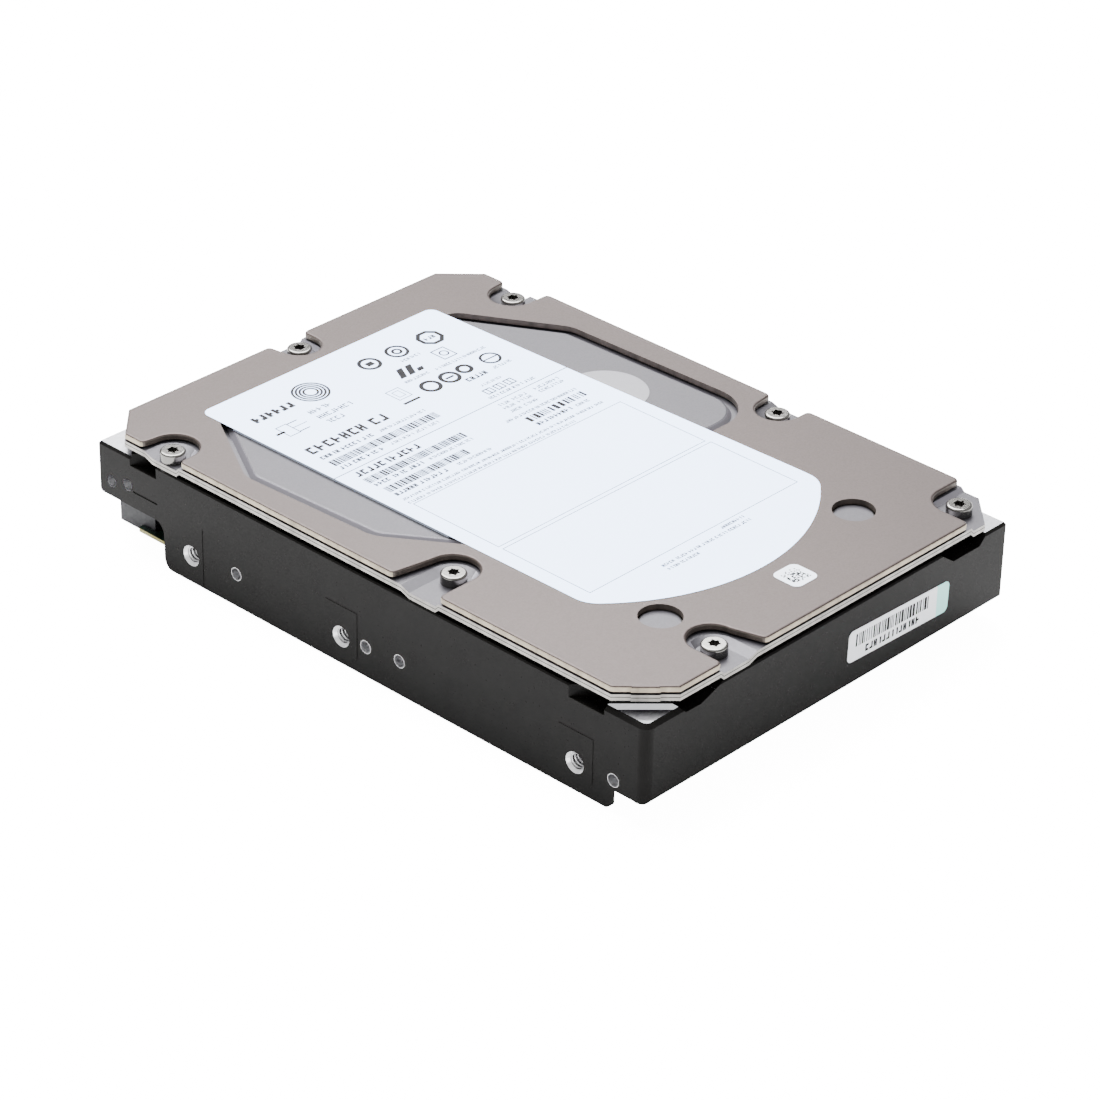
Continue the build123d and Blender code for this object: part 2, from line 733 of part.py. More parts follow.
with BuildPart() as board_small_parts:
    for row in range(6):
        box_between((-32, -6 + 5 * row, board_top_z), (-30.4, -4.8 + 5 * row, board_top_z + 0.6))
    for column in range(7):
        box_between((-16 + 3.4 * column, 12, board_top_z), (-14.4 + 3.4 * column, 12.9, board_top_z + 0.5))
    for column in range(4):
        box_between((20 + 5 * column, 30, board_top_z), (22.6 + 5 * column, 33.2, board_top_z + 0.9))
    box_between((28, 12, board_top_z), (32.5, 16.5, board_top_z + 0.95))
    box_between((-30, 44, board_top_z), (-27, 49, board_top_z + 0.8))
board_small_parts.part.label = "board_small_parts"
export_step(board_small_parts.part, "parts/board_small_parts.step")

# ================================================================ interface connector
arm_length_x = 4.4
housing_top_z = 9.6
housing_low_z = 0.45
tongue_low_z = 5.0
tongue_high_z = 6.2
tongue_end_y = connector_y - 0.9
left_x = connector_centre_x - connector_half_x
right_x = connector_centre_x + connector_half_x
with BuildPart() as interface_connector:
    box_between((left_x, connector_body_y, board_top_z), (right_x, connector_body_y + 4.0, housing_top_z))
    for low_x in (left_x, right_x - arm_length_x):
        high_x = low_x + arm_length_x
        box_between((low_x, connector_body_y, board_top_z), (high_x, connector_y, housing_top_z))
        box_between((low_x, board_rear_y + 0.2, housing_low_z), (high_x, connector_y, board_top_z + 0.1))
    box_between(
        (left_x + arm_length_x + 2.2, connector_body_y + 3.9, tongue_low_z),
        (right_x - arm_length_x - 2.2, tongue_end_y, tongue_high_z),
    )
    # the raised keys at both ends of the tongue
    box_between(
        (left_x + arm_length_x + 2.2, connector_body_y + 3.9, tongue_low_z),
        (left_x + arm_length_x + 3.4, tongue_end_y, tongue_high_z + 1.2),
    )
    box_between(
        (right_x - arm_length_x - 3.4, connector_body_y + 3.9, tongue_low_z),
        (right_x - arm_length_x - 2.2, tongue_end_y, tongue_high_z + 1.2),
    )
    lead_in = interface_connector.faces().filter_by(Axis.Y).sort_by(Axis.Y)[-2:]
    for end_face in lead_in:
        chamfer(end_face.outer_wire().edges(), length=0.5)
interface_connector.part.label = "interface_connector"
export_step(interface_connector.part, "parts/interface_connector.step")

contact_pitch = 1.27
contact_count = 22
contact_start_x = connector_centre_x - contact_pitch * (contact_count - 1) / 2
with BuildPart() as connector_contacts:
    for number in range(contact_count):
        contact_x = contact_start_x + contact_pitch * number
        box_between(
            (contact_x - 0.42, connector_body_y + 4.2, tongue_low_z - 0.12),
            (contact_x + 0.42, tongue_end_y - 0.6, tongue_low_z),
        )
    for number in range(7):
        contact_x = connector_centre_x - 3.8 + contact_pitch * number
        box_between(
            (contact_x - 0.42, connector_body_y + 4.2, tongue_high_z),
            (contact_x + 0.42, tongue_end_y - 0.6, tongue_high_z + 0.12),
        )
connector_contacts.part.label = "connector_contacts"
export_step(connector_contacts.part, "parts/connector_contacts.step")

# ================================================================ spindle motor, fixed side
sleeve_top_z = 13.6
cap_top_z = 2.8
with BuildPart() as motor_sleeve:
    ring(spindle, shaft_r + shaft_clearance, sleeve_r, cap_top_z, sleeve_top_z)
    disc(spindle, sleeve_r, 1.7, cap_top_z)
motor_sleeve.part.label = "motor_sleeve"
export_step(motor_sleeve.part, "parts/motor_sleeve.step")

stator_low_z = 5.2
stator_high_z = 8.8
tooth_count = 9
tooth_tip_r = 9.2
with BuildPart() as stator_core:
    with BuildSketch(Plane.XY.offset(stator_low_z)):
        with Locations(spindle):
            Circle(tooth_tip_r)
            Circle(8.5, mode=Mode.SUBTRACT)
            with PolarLocations(9.0, tooth_count, start_angle=20):
                Rectangle(2.4, 0.9, mode=Mode.SUBTRACT)
            Circle(boss_r + 0.9)
            with PolarLocations(7.4, tooth_count):
                Rectangle(2.6, 1.2)
            Circle(boss_r, mode=Mode.SUBTRACT)
    extrude(amount=stator_high_z - stator_low_z)
stator_core.part.label = "stator_core"
export_step(stator_core.part, "parts/stator_core.step")

with BuildPart() as stator_coils:
    with BuildSketch(Plane.XY.offset(stator_low_z - 0.45)):
        with Locations(spindle):
            with PolarLocations(7.6, tooth_count):
                RectangleRounded(1.5, 2.7, 0.5)
    extrude(amount=stator_high_z - stator_low_z + 0.9)
    with BuildSketch(Plane.XY.offset(stator_low_z)):
        with Locations(spindle):
            with PolarLocations(7.6, tooth_count):
                Rectangle(3.0, 1.2)
    extrude(amount=stator_high_z - stator_low_z, mode=Mode.SUBTRACT)
stator_coils.part.label = "stator_coils"
export_step(stator_coils.part, "parts/stator_coils.step")

# ================================================================ spindle rotor
hub_low_z = 4.4
flange_low_z = 7.6
hub_top_z = 16.7
cavity_top_z = 14.3
yoke_outer_r = 11.7
yoke_inner_r = 11.0
magnet_inner_r = 9.6
disk_low_z = middle_disk_z - disk_pitch
clamp_screw_r = 8.2
clamp_screw_count = 6
clamp_screw_points = [polar_point(spindle, clamp_screw_r, 60 * k) for k in range(clamp_screw_count)]
with BuildPart() as spindle_hub:
    disc(spindle, hub_r, hub_low_z, hub_top_z)
    disc(spindle, clamp_r, flange_low_z, disk_low_z)
    disc(spindle, yoke_outer_r, hub_low_z - 1, cavity_top_z, Mode.SUBTRACT)
    disc(spindle, shaft_r, hub_low_z, hub_top_z + 1, Mode.SUBTRACT)
    for point in clamp_screw_points:
        disc(point, 0.85, 14.9, hub_top_z + 1, Mode.SUBTRACT)
spindle_hub.part.label = "spindle_hub"
export_step(spindle_hub.part, "parts/spindle_hub.step")

with BuildPart() as spindle_shaft:
    disc(spindle, shaft_r, cap_top_z + 0.05, hub_top_z)
spindle_shaft.part.label = "spindle_shaft"
export_step(spindle_shaft.part, "parts/spindle_shaft.step")

with BuildPart() as rotor_yoke:
    ring(spindle, yoke_inner_r, yoke_outer_r, hub_low_z, 10.2)
rotor_yoke.part.label = "rotor_yoke"
export_step(rotor_yoke.part, "parts/rotor_yoke.step")

with BuildPart() as rotor_magnet:
    ring(spindle, magnet_inner_r, yoke_inner_r, hub_low_z + 0.3, 9.8)
rotor_magnet.part.label = "rotor_magnet"
export_step(rotor_magnet.part, "parts/rotor_magnet.step")

disk_levels = [disk_low_z + disk_pitch * k for k in range(3)]
for platter_name, disk_z in zip(("platter_lower", "platter_middle", "platter_upper"), disk_levels):
    with BuildPart() as platter:
        ring(spindle, disk_bore_r, disk_r, disk_z, disk_z + disk_thickness)
        rims = platter.edges().filter_by(GeomType.CIRCLE).sort_by(SortBy.RADIUS)[-2:]
        chamfer(rims, length=0.15)
    platter.part.label = platter_name
    export_step(platter.part, f"parts/{platter_name}.step")

with BuildPart() as spacer_rings:
    for disk_z in disk_levels[:2]:
        ring(spindle, disk_bore_r, clamp_r, disk_z + disk_thickness, disk_z + disk_pitch)
spacer_rings.part.label = "spacer_rings"
export_step(spacer_rings.part, "parts/spacer_rings.step")

stack_top_z = disk_levels[2] + disk_thickness
clamp_top_z = 17.8
with BuildPart() as disk_clamp:
    disc(spindle, clamp_r, hub_top_z, clamp_top_z)
    with BuildSketch(Plane.XY.offset(hub_top_z - 0.1)):
        with Locations(spindle):
            Circle(clamp_r + 1)
            Circle(hub_r, mode=Mode.SUBTRACT)
    extrude(amount=stack_top_z - hub_top_z + 0.1, mode=Mode.SUBTRACT)
    disc(spindle, 3.4, hub_top_z - 1, clamp_top_z + 1, Mode.SUBTRACT)
    for point in clamp_screw_points:
        disc(point, 0.9, hub_top_z - 1, clamp_top_z + 1, Mode.SUBTRACT)
disk_clamp.part.label = "disk_clamp"
export_step(disk_clamp.part, "parts/disk_clamp.step")

with BuildPart() as clamp_screws:
    for point in clamp_screw_points:
        disc(point, 1.9, clamp_top_z, clamp_top_z + 1.2)
        disc(point, 0.8, 15.0, clamp_top_z)
    for point in clamp_screw_points:
        with BuildSketch(Plane.XY.offset(clamp_top_z + 0.5)):
            with Locations(point):
                Circle(0.7)
                with PolarLocations(0.7, 6):
                    Circle(0.2)
        extrude(amount=1.0, mode=Mode.SUBTRACT)
clamp_screws.part.label = "clamp_screws"
export_step(clamp_screws.part, "parts/clamp_screws.step")

with BuildPart() as disk_dampers:
    for disk_z in disk_levels[:2]:
        damper_z = disk_z + disk_thickness + 0.75
        with BuildSketch(Plane.XY.offset(damper_z)):
            ring_sector(spindle, 20.0, bowl_r - 0.05, 110, 250)
        extrude(amount=0.9)
disk_dampers.part.label = "disk_dampers"
export_step(disk_dampers.part, "parts/disk_dampers.step")

# ================================================================ actuator
arm_levels = [coil_mid_z + disk_pitch * (k - 1.5) for k in range(4)]
block_low_z = 6.9
block_high_z = 18.9
race_levels = (7.4, 16.0)
race_height = 2.4


def arm_plane(low_z):
    """Returns a plane at the pivot whose x axis runs along the parked arm."""
    return Plane(
        origin=(pivot[0], pivot[1], low_z),
        x_dir=(cos(radians(park_angle)), sin(radians(park_angle)), 0),
        z_dir=(0, 0, 1),
    )


with BuildPart() as arm_block:
    disc(pivot, block_r, block_low_z, block_high_z)
    for arm_z in arm_levels:
        with BuildSketch(arm_plane(arm_z - arm_thickness / 2)):
            polygon(((0, -7.6), (arm_reach, -2.6), (arm_reach, 2.6), (0, 7.6)))
            with Locations((arm_reach, 0)):
                Circle(2.6)
            polygon(((12.5, -2.9), (24.0, -1.4), (24.0, 1.4), (12.5, 2.9)), Mode.SUBTRACT)
            with Locations((arm_reach, 0)):
                Circle(1.1, mode=Mode.SUBTRACT)
        extrude(amount=arm_thickness)
    # tail that holds the coil's overmould
    with BuildSketch(arm_plane(coil_mid_z - 1.6)):
        with Locations((-9.5, 0)):
            Rectangle(6.0, 11.0)
    extrude(amount=3.2)
    disc(pivot, pivot_sleeve_r, block_low_z - 1, block_high_z + 1, Mode.SUBTRACT)
arm_block.part.label = "arm_block"
export_step(arm_block.part, "parts/arm_block.step")

with BuildPart() as pivot_sleeve:
    ring(pivot, 5.5, pivot_sleeve_r, block_low_z, block_high_z)
pivot_sleeve.part.label = "pivot_sleeve"
export_step(pivot_sleeve.part, "parts/pivot_sleeve.step")

ball_count = 10
ball_circle_r = 4.0
ball_r = 0.6
with BuildPart() as bearing_outer_races:
    for race_z in race_levels:
        ring(pivot, ball_circle_r + ball_r + 0.02, 5.5, race_z, race_z + race_height)
bearing_outer_races.part.label = "bearing_outer_races"
export_step(bearing_outer_races.part, "parts/bearing_outer_races.step")

with BuildPart() as bearing_balls:
    for race_z in race_levels:
        for number in range(ball_count):
            spot = polar_point(pivot, ball_circle_r, 360 / ball_count * number)
            with Locations((spot[0], spot[1], race_z + race_height / 2)):
                Sphere(ball_r)
bearing_balls.part.label = "bearing_balls"
export_step(bearing_balls.part, "parts/bearing_balls.step")

with BuildPart() as bearing_inner_races:
    for race_z in race_levels:
        ring(pivot, pivot_shaft_r, ball_circle_r - ball_r - 0.03, race_z, race_z + race_height)
bearing_inner_races.part.label = "bearing_inner_races"
export_step(bearing_inner_races.part, "parts/bearing_inner_races.step")

with BuildPart() as pivot_shaft:
    disc(pivot, pivot_shaft_r, 3.7, 20.6)
    disc(pivot, 3.6, 18.9, 19.8)
    disc(pivot, 3.3, 6.8, 7.2)
    disc(pivot, 1.2, 17.0, 22.0, Mode.SUBTRACT)
pivot_shaft.part.label = "pivot_shaft"
export_step(pivot_shaft.part, "parts/pivot_shaft.step")

coil_angle = park_angle - 180
coil_low_z = coil_mid_z - 1.5
coil_height = 3.0
with BuildPart() as voice_coil:
    with BuildSketch(Plane.XY.offset(coil_low_z)) as coil_face:
        ring_sector(pivot, 15.0, 26.5, coil_angle - 17, coil_angle + 17)
        fillet(coil_face.vertices(), radius=1.8)
        ring_sector(pivot, 18.4, 23.4, coil_angle - 9, coil_angle + 9, Mode.SUBTRACT)
    extrude(amount=coil_height)
voice_coil.part.label = "voice_coil"
export_step(voice_coil.part, "parts/voice_coil.step")

with BuildPart() as coil_overmould:
    with BuildSketch(Plane.XY.offset(coil_low_z)) as mould_face:
        ring_sector(pivot, 13.6, 27.6, coil_angle - 19, coil_angle + 19)
        fillet(mould_face.vertices(), radius=2.0)
        ring_sector(pivot, 27.0, 29.6, coil_angle + 10, coil_angle + 12)
    extrude(amount=coil_height)
    with BuildSketch(arm_plane(coil_low_z)):
        with Locations((-13.6, 0)):
            Rectangle(2.2, 11.0)
    extrude(amount=coil_height)
    add(voice_coil.part, mode=Mode.SUBTRACT)
    with BuildSketch(arm_plane(coil_low_z - 1)):
        with Locations((-9.5, 0)):
            Rectangle(6.0, 11.0)
    extrude(amount=coil_height + 2, mode=Mode.SUBTRACT)
    with BuildSketch(Plane.XY.offset(coil_low_z)):
        ring_sector(pivot, 18.4, 23.4, coil_angle - 9, coil_angle + 9)
    extrude(amount=coil_height, mode=Mode.SUBTRACT)
coil_overmould.part.label = "coil_overmould"
export_step(coil_overmould.part, "parts/coil_overmould.step")

# Each head hangs from a thin spring blade; the blade and slider lie between an arm and a disk face.
blade_thickness = 0.15
slider_gap = 0.1

with BuildPart() as head_suspensions:
    for arm_index, arm_z in enumerate(arm_levels):
        low_face = arm_z - arm_thickness / 2
        high_face = arm_z + arm_thickness / 2
        mounts = []
        if arm_index > 0:
            mounts.append(low_face - blade_thickness)
        if arm_index < 3:
            mounts.append(high_face)
        for blade_z in mounts:
            with BuildSketch(arm_plane(blade_z)):
                polygon(
                    (
                        (arm_reach - 3.5, -2.4),
                        (arm_reach + 2.4, -2.4),
                        (head_reach + 0.9, -0.6),
                        (head_reach + 0.9, 0.6),
                        (arm_reach + 2.4, 2.4),
                        (arm_reach - 3.5, 2.4),
                    )
                )
            extrude(amount=blade_thickness)
head_suspensions.part.label = "head_suspensions"
export_step(head_suspensions.part, "parts/head_suspensions.step")

with BuildPart() as head_sliders:
    for arm_index, arm_z in enumerate(arm_levels):
        if arm_index > 0:
            blade_low = arm_z - arm_thickness / 2 - blade_thickness
            disk_face = disk_levels[arm_index - 1] + disk_thickness + slider_gap
            with BuildSketch(arm_plane(disk_face)):
                with Locations((head_reach, 0)):
                    Rectangle(1.25, 1.0)
            extrude(amount=blade_low - disk_face)
        if arm_index < 3:
            blade_high = arm_z + arm_thickness / 2 + blade_thickness
            disk_face = disk_levels[arm_index] - slider_gap
            with BuildSketch(arm_plane(blade_high)):
                with Locations((head_reach, 0)):
                    Rectangle(1.25, 1.0)
            extrude(amount=disk_face - blade_high)
head_sliders.part.label = "head_sliders"
export_step(head_sliders.part, "parts/head_sliders.step")

preamp_face = block_r + 1.0
with BuildPart() as head_preamp:
    with BuildSketch(arm_plane(10.2)):
        with Locations((0, -preamp_face + 0.8)):
            Rectangle(6.4, 1.6)
    extrude(amount=5.4)
    disc(pivot, block_r, 10, 16, Mode.SUBTRACT)
head_preamp.part.label = "head_preamp"
export_step(head_preamp.part, "parts/head_preamp.step")

# ================================================================ voice coil motor, fixed side
plate_inner_r = 12.6
plate_outer_r = 34.4
plate_start = 47
plate_end = 124
vcm_plate = 2.4
vcm_magnet = 2.6
stop_r = 1.6
stop_points = (
    polar_point(pivot, 20.0, coil_angle - 24.5),
    polar_point(pivot, 20.0, coil_angle + 46.3),
)
post_points = (polar_point(pivot, 32.0, 68), polar_point(pivot, 31.8, 106))
lower_gap_z = floor_z + vcm_plate
upper_gap_z = 18.0
for plate_name, low_z in (("vcm_bottom_plate", floor_z), ("vcm_top_plate", upper_gap_z)):
    with BuildPart() as vcm_sheet:
        with BuildSketch(Plane.XY.offset(low_z)):
            ring_sector(pivot, plate_inner_r, plate_outer_r, plate_start, plate_end)
            with Locations((0, 22)):
                Rectangle(88.4, 60, mode=Mode.INTERSECT)
            polygon(((45.6, 38.0), (35.0, 54.5), (60, 60)), Mode.SUBTRACT)
            if low_z > floor_z:
                with Locations(*post_points, *stop_points):
                    Circle(1.05, mode=Mode.SUBTRACT)
        extrude(amount=vcm_plate)
    vcm_sheet.part.label = plate_name
    export_step(vcm_sheet.part, f"parts/{plate_name}.step")

magnet_start = coil_angle - 16.5
magnet_end = coil_angle + 21.8 + 16.5
for magnet_name, low_z in (("vcm_bottom_magnet", lower_gap_z), ("vcm_top_magnet", upper_gap_z - vcm_magnet)):
    with BuildPart() as vcm_block:
        with BuildSketch(Plane.XY.offset(low_z)) as magnet_face:
            ring_sector(pivot, 15.0, 26.4, magnet_start, magnet_end)
            with Locations((0, 22)):
                Rectangle(88.4, 60, mode=Mode.INTERSECT)
        extrude(amount=vcm_magnet)
    vcm_block.part.label = magnet_name
    export_step(vcm_block.part, f"parts/{magnet_name}.step")

with BuildPart() as vcm_posts:
    for point in post_points:
        disc(point, 1.8, lower_gap_z, upper_gap_z)
        disc(point, 1.0, upper_gap_z, upper_gap_z + vcm_plate)
        disc(point, 2.0, upper_gap_z + vcm_plate, upper_gap_z + vcm_plate + 0.9)
vcm_posts.part.label = "vcm_posts"
export_step(vcm_posts.part, "parts/vcm_posts.step")

with BuildPart() as crash_stops:
    for point in stop_points:
        disc(point, stop_r, lower_gap_z, upper_gap_z)
        disc(point, 1.0, upper_gap_z, upper_gap_z + vcm_plate)
crash_stops.part.label = "crash_stops"
export_step(crash_stops.part, "parts/crash_stops.step")

# ================================================================ parking latch
latch_pivot = (13.0, 49.0)
latch_pin_r = 1.0
latch_bore_r = 1.04
latch_low_z = 11.6
latch_high_z = 14.4
hook_point = (27.0, 43.0)
with BuildPart() as latch_pin:
    disc(latch_pivot, 1.9, floor_z, 11.2)
    disc(latch_pivot, latch_pin_r, 11.2, 15.4)
latch_pin.part.label = "latch_pin"
export_step(latch_pin.part, "parts/latch_pin.step")

latch_span = hypot(hook_point[0] - latch_pivot[0], hook_point[1] - latch_pivot[1])
latch_heading = degrees(atan2(hook_point[1] - latch_pivot[1], hook_point[0] - latch_pivot[0]))
with BuildPart() as latch_lever:
    lever_plane = Plane(
        origin=(latch_pivot[0], latch_pivot[1], latch_low_z),
        x_dir=(cos(radians(latch_heading)), sin(radians(latch_heading)), 0),
        z_dir=(0, 0, 1),
    )
    with BuildSketch(lever_plane):
        Circle(2.2)
        with Locations((latch_span / 2, 0)):
            Rectangle(latch_span, 1.8)
        with Locations((latch_span, -1.1)):
            Rectangle(1.8, 3.6)
        with Locations((-4.2, 0)):
            Rectangle(6.4, 2.8)
        Circle(latch_bore_r, mode=Mode.SUBTRACT)
    extrude(amount=latch_high_z - latch_low_z)
latch_lever.part.label = "latch_lever"
export_step(latch_lever.part, "parts/latch_lever.step")

# ================================================================ flex circuit
with BuildPart() as head_connector:
    box_between((-6.8, 43.2, 2.4), (8.8, 48.8, floor_z + 0.3))
head_connector.part.label = "head_connector"
export_step(head_connector.part, "parts/head_connector.step")

with BuildPart() as flex_bracket:
    box_between((-7.6, 41.8, floor_z + 0.3), (9.4, 50.2, floor_z + 1.3))
    box_between((-7.6, 41.8, floor_z + 1.2), (9.4, 42.6, 15.8))
flex_bracket.part.label = "flex_bracket"
export_step(flex_bracket.part, "parts/flex_bracket.step")

ribbon_thickness = 0.16
ribbon_line = -preamp_face - ribbon_thickness / 2 - 0.01
ribbon_end = arm_plane(0).from_local_coords((2.6, ribbon_line, 0))
ribbon_meet = arm_plane(0).from_local_coords((-2.8, ribbon_line, 0))
with BuildPart() as flex_ribbon:
    with BuildSketch(Plane.XY.offset(10.4)):
        with BuildLine():
            bracket_run = Line((-6.0, 41.7), (3.0, 41.7))
            block_run = Line((ribbon_meet.X, ribbon_meet.Y), (ribbon_end.X, ribbon_end.Y))
            Spline(
                bracket_run @ 1,
                (14.2, 31.0),
                block_run @ 0,
                tangents=(bracket_run % 1, block_run % 0),
            )
        trace(line_width=ribbon_thickness)
    extrude(amount=5.0)
flex_ribbon.part.label = "flex_ribbon"
export_step(flex_ribbon.part, "parts/flex_ribbon.step")

# ================================================================ filters
with BuildPart() as breather_filter:
    with BuildSketch(Plane.XY.offset(floor_z)):
        with Locations((-30.0, 38.0)):
            RectangleRounded(12, 12, 2)
            Circle(0.8, mode=Mode.SUBTRACT)
    extrude(amount=3.0)
breather_filter.part.label = "breather_filter"
export_step(breather_filter.part, "parts/breather_filter.step")

with BuildPart() as recirculation_filter:
    with BuildSketch(Plane(origin=(-33.0, 2.0, floor_z), x_dir=(1, 1, 0), z_dir=(0, 0, 1))):
        RectangleRounded(9.0, 2.6, 0.8)
    extrude(amount=12.0)
recirculation_filter.part.label = "recirculation_filter"
export_step(recirculation_filter.part, "parts/recirculation_filter.step")

with BuildPart() as desiccant_pack:
    with BuildSketch(Plane.XY.offset(floor_z)):
        with Locations((-15.5, 47.0)):
            RectangleRounded(12, 12, 2)
    extrude(amount=5.0)
    fillet(desiccant_pack.faces().sort_by(Axis.Z)[-1].outer_wire().edges(), radius=1.2)
desiccant_pack.part.label = "desiccant_pack"
export_step(desiccant_pack.part, "parts/desiccant_pack.step")
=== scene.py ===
import bpy
import json
import math
import random
from mathutils import Matrix, Vector


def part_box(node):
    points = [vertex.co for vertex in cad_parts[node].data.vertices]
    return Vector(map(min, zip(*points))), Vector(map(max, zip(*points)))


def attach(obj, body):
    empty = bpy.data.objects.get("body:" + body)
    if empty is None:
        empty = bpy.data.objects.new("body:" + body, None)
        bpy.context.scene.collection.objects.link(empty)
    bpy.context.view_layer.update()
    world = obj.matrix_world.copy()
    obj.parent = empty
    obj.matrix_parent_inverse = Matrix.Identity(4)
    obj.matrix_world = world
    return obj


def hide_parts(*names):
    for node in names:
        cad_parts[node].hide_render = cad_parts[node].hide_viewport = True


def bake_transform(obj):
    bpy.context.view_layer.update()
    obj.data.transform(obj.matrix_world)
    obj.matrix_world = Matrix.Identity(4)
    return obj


MM = 0.001
NOISE_LOW = 0.3
NOISE_HIGH = 0.7
LEVEL_UP = 0.9
SKIN_RELIEF = 0.00002
GROOVE_RELIEF = 0.00001
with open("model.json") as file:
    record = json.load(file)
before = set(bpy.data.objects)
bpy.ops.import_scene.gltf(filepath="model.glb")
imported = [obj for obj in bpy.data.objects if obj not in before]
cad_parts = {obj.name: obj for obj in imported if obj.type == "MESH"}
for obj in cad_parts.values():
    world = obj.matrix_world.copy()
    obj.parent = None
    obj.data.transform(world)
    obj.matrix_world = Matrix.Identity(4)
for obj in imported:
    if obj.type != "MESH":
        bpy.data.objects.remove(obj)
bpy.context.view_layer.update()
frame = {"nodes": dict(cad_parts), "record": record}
record = frame["record"]
nodes = frame["nodes"]


# ---------------------------------------------------------------- material building
class Shader:
    """A small helper that adds shader nodes and links them."""

    def __init__(self, name):
        self.material = bpy.data.materials.new(name)
        self.material.use_nodes = True
        self.tree = self.material.node_tree
        self.bsdf = self.tree.nodes["Principled BSDF"]
        self.place = self.add("ShaderNodeTexCoord").outputs["Object"]
        self.bump_chain = None

    def add(self, kind, **inputs):
        node = self.tree.nodes.new(kind)
        for key, value in inputs.items():
            self.feed(node.inputs[key.replace("_", " ")], value)
        return node

    def feed(self, socket, value):
        if isinstance(value, bpy.types.NodeSocket):
            self.tree.links.new(value, socket)
        else:
            socket.default_value = value

    def math(self, operation, *values):
        node = self.tree.nodes.new("ShaderNodeMath")
        node.operation = operation
        for socket, value in zip(node.inputs, values):
            self.feed(socket, value)
        return node.outputs[0]

    def mix(self, factor, first, second):
        node = self.tree.nodes.new("ShaderNodeMix")
        node.data_type = "RGBA"
        self.feed(node.inputs[0], factor)
        self.feed(node.inputs[6], colour(first))
        self.feed(node.inputs[7], colour(second))
        return node.outputs[2]

    def noise(self, scale, detail=3.0, roughness=0.55, stretch=None):
        where = self.place
        if stretch is not None:
            mapping = self.add("ShaderNodeMapping", Vector=self.place)
            mapping.inputs["Scale"].default_value = stretch
            where = mapping.outputs[0]
        node = self.add("ShaderNodeTexNoise", Vector=where, Scale=scale, Detail=detail, Roughness=roughness)
        return node.outputs[0]

    def band(self, value, low, high):
        """1 between low and high, else 0."""
        above = self.math("GREATER_THAN", value, low)
        below = self.math("LESS_THAN", value, high)
        return self.math("MULTIPLY", above, below)

    def vary(self, value, low, high):
        """Spreads a noise value, which stays near its middle, from low to high."""
        node = self.add("ShaderNodeMapRange", Value=value)
        node.inputs["From Min"].default_value = NOISE_LOW
        node.inputs["From Max"].default_value = NOISE_HIGH
        node.inputs["To Min"].default_value = low
        node.inputs["To Max"].default_value = high
        return node.outputs[0]

    def bump(self, height, strength, distance):
        node = self.add("ShaderNodeBump", Height=height)
        node.inputs["Strength"].default_value = strength
        node.inputs["Distance"].default_value = distance
        if self.bump_chain is not None:
            self.tree.links.new(self.bump_chain, node.inputs["Normal"])
        self.bump_chain = node.outputs[0]
        self.tree.links.new(self.bump_chain, self.bsdf.inputs["Normal"])

    def mix_value(self, factor, low, high):
        node = self.add("ShaderNodeMix", Factor=factor)
        node.inputs[2].default_value = low
        node.inputs[3].default_value = high
        return node.outputs[0]

    def axes(self):
        split = self.add("ShaderNodeSeparateXYZ", Vector=self.place)
        return split.outputs

    def set(self, **inputs):
        for key, value in inputs.items():
            self.feed(self.bsdf.inputs[key.replace("_", " ")], value)


def colour(value):
    if isinstance(value, (tuple, list)) and len(value) == 3:
        return (*value, 1.0)
    return value


def scaled(base, factor):
    return tuple(c * factor for c in base)


def plain_surface(
    name, base, metallic=0.0, roughness=0.5, grain=900.0, spread=0.08, bump=0.15, stretch=None, sheen=0.5
):
    """A surface with a slightly mottled colour, uneven roughness and a fine relief."""
    shader = Shader(name)
    grains = shader.noise(grain, 4.0, 0.6, stretch)
    cloud = shader.noise(grain * 0.04, 3.0, 0.5)
    darker = scaled(base, 1 - spread)
    lighter = tuple(min(1.0, c * (1 + spread)) for c in base)
    shader.set(Base_Color=shader.mix(shader.vary(cloud, 0.2, 0.8), darker, lighter))
    shader.set(Metallic=metallic)
    shader.set(Roughness=shader.vary(grains, max(0.02, roughness * 0.85), min(1.0, roughness * 1.15)))
    shader.bsdf.inputs["Specular IOR Level"].default_value = sheen
    if bump:
        shader.bump(grains, bump, SKIN_RELIEF)
    return shader


def circle_mask(shader, a, b, centre, radius):
    """1 inside a circle in the plane of two coordinate sockets, else 0."""
    da = shader.math("SUBTRACT", a, centre[0] * MM)
    db = shader.math("SUBTRACT", b, centre[1] * MM)
    square = shader.math("ADD", shader.math("MULTIPLY", da, da), shader.math("MULTIPLY", db, db))
    return shader.math("LESS_THAN", square, (radius * MM) ** 2)


# places in millimetres, as (y, z) on a side face or (distance from the middle, y) underneath
SIDE_SCREWS = ((45.0, 6.35), (3.39, 6.35), (-56.6, 6.35))
TOOLING = ((67.76, 13.74), (63.05, 14.79), (32.28, 7.6), (-3.11, 6.87), (-12.02, 7.71), (-65.83, 6.87))
SIDE_FACE_X = 50.795
HOLES_INNER_X = 45.5
SIDE_SCREW_BARE_R = 2.26
TOOLING_BARE_R = 1.37
THREAD_BARE_R = 1.6
BOTTOM_BARE_R = 2.1
BOTTOM_BARE_TOP_Z = 5.0
BOTTOM_SCREWS = ((47.625, 32.22), (47.625, -12.23))
THREAD_PITCH = 0.794
PAD_Z = 21.36
TOOLING_FLOOR = (50.8 - 2.5) * MM
NEAR_BAND = (112.5, 115.6)
NEAR_TIP = (120.6, 125.0)
FLAT_SLACK = 0.03
FLOOR_SLACK = 0.05 * MM
GROOVE_LEVEL = -0.25
COAT_SHEEN = 0.055
THREAD_DEPTH = 0.00018
COAT_RELIEF = 0.00003


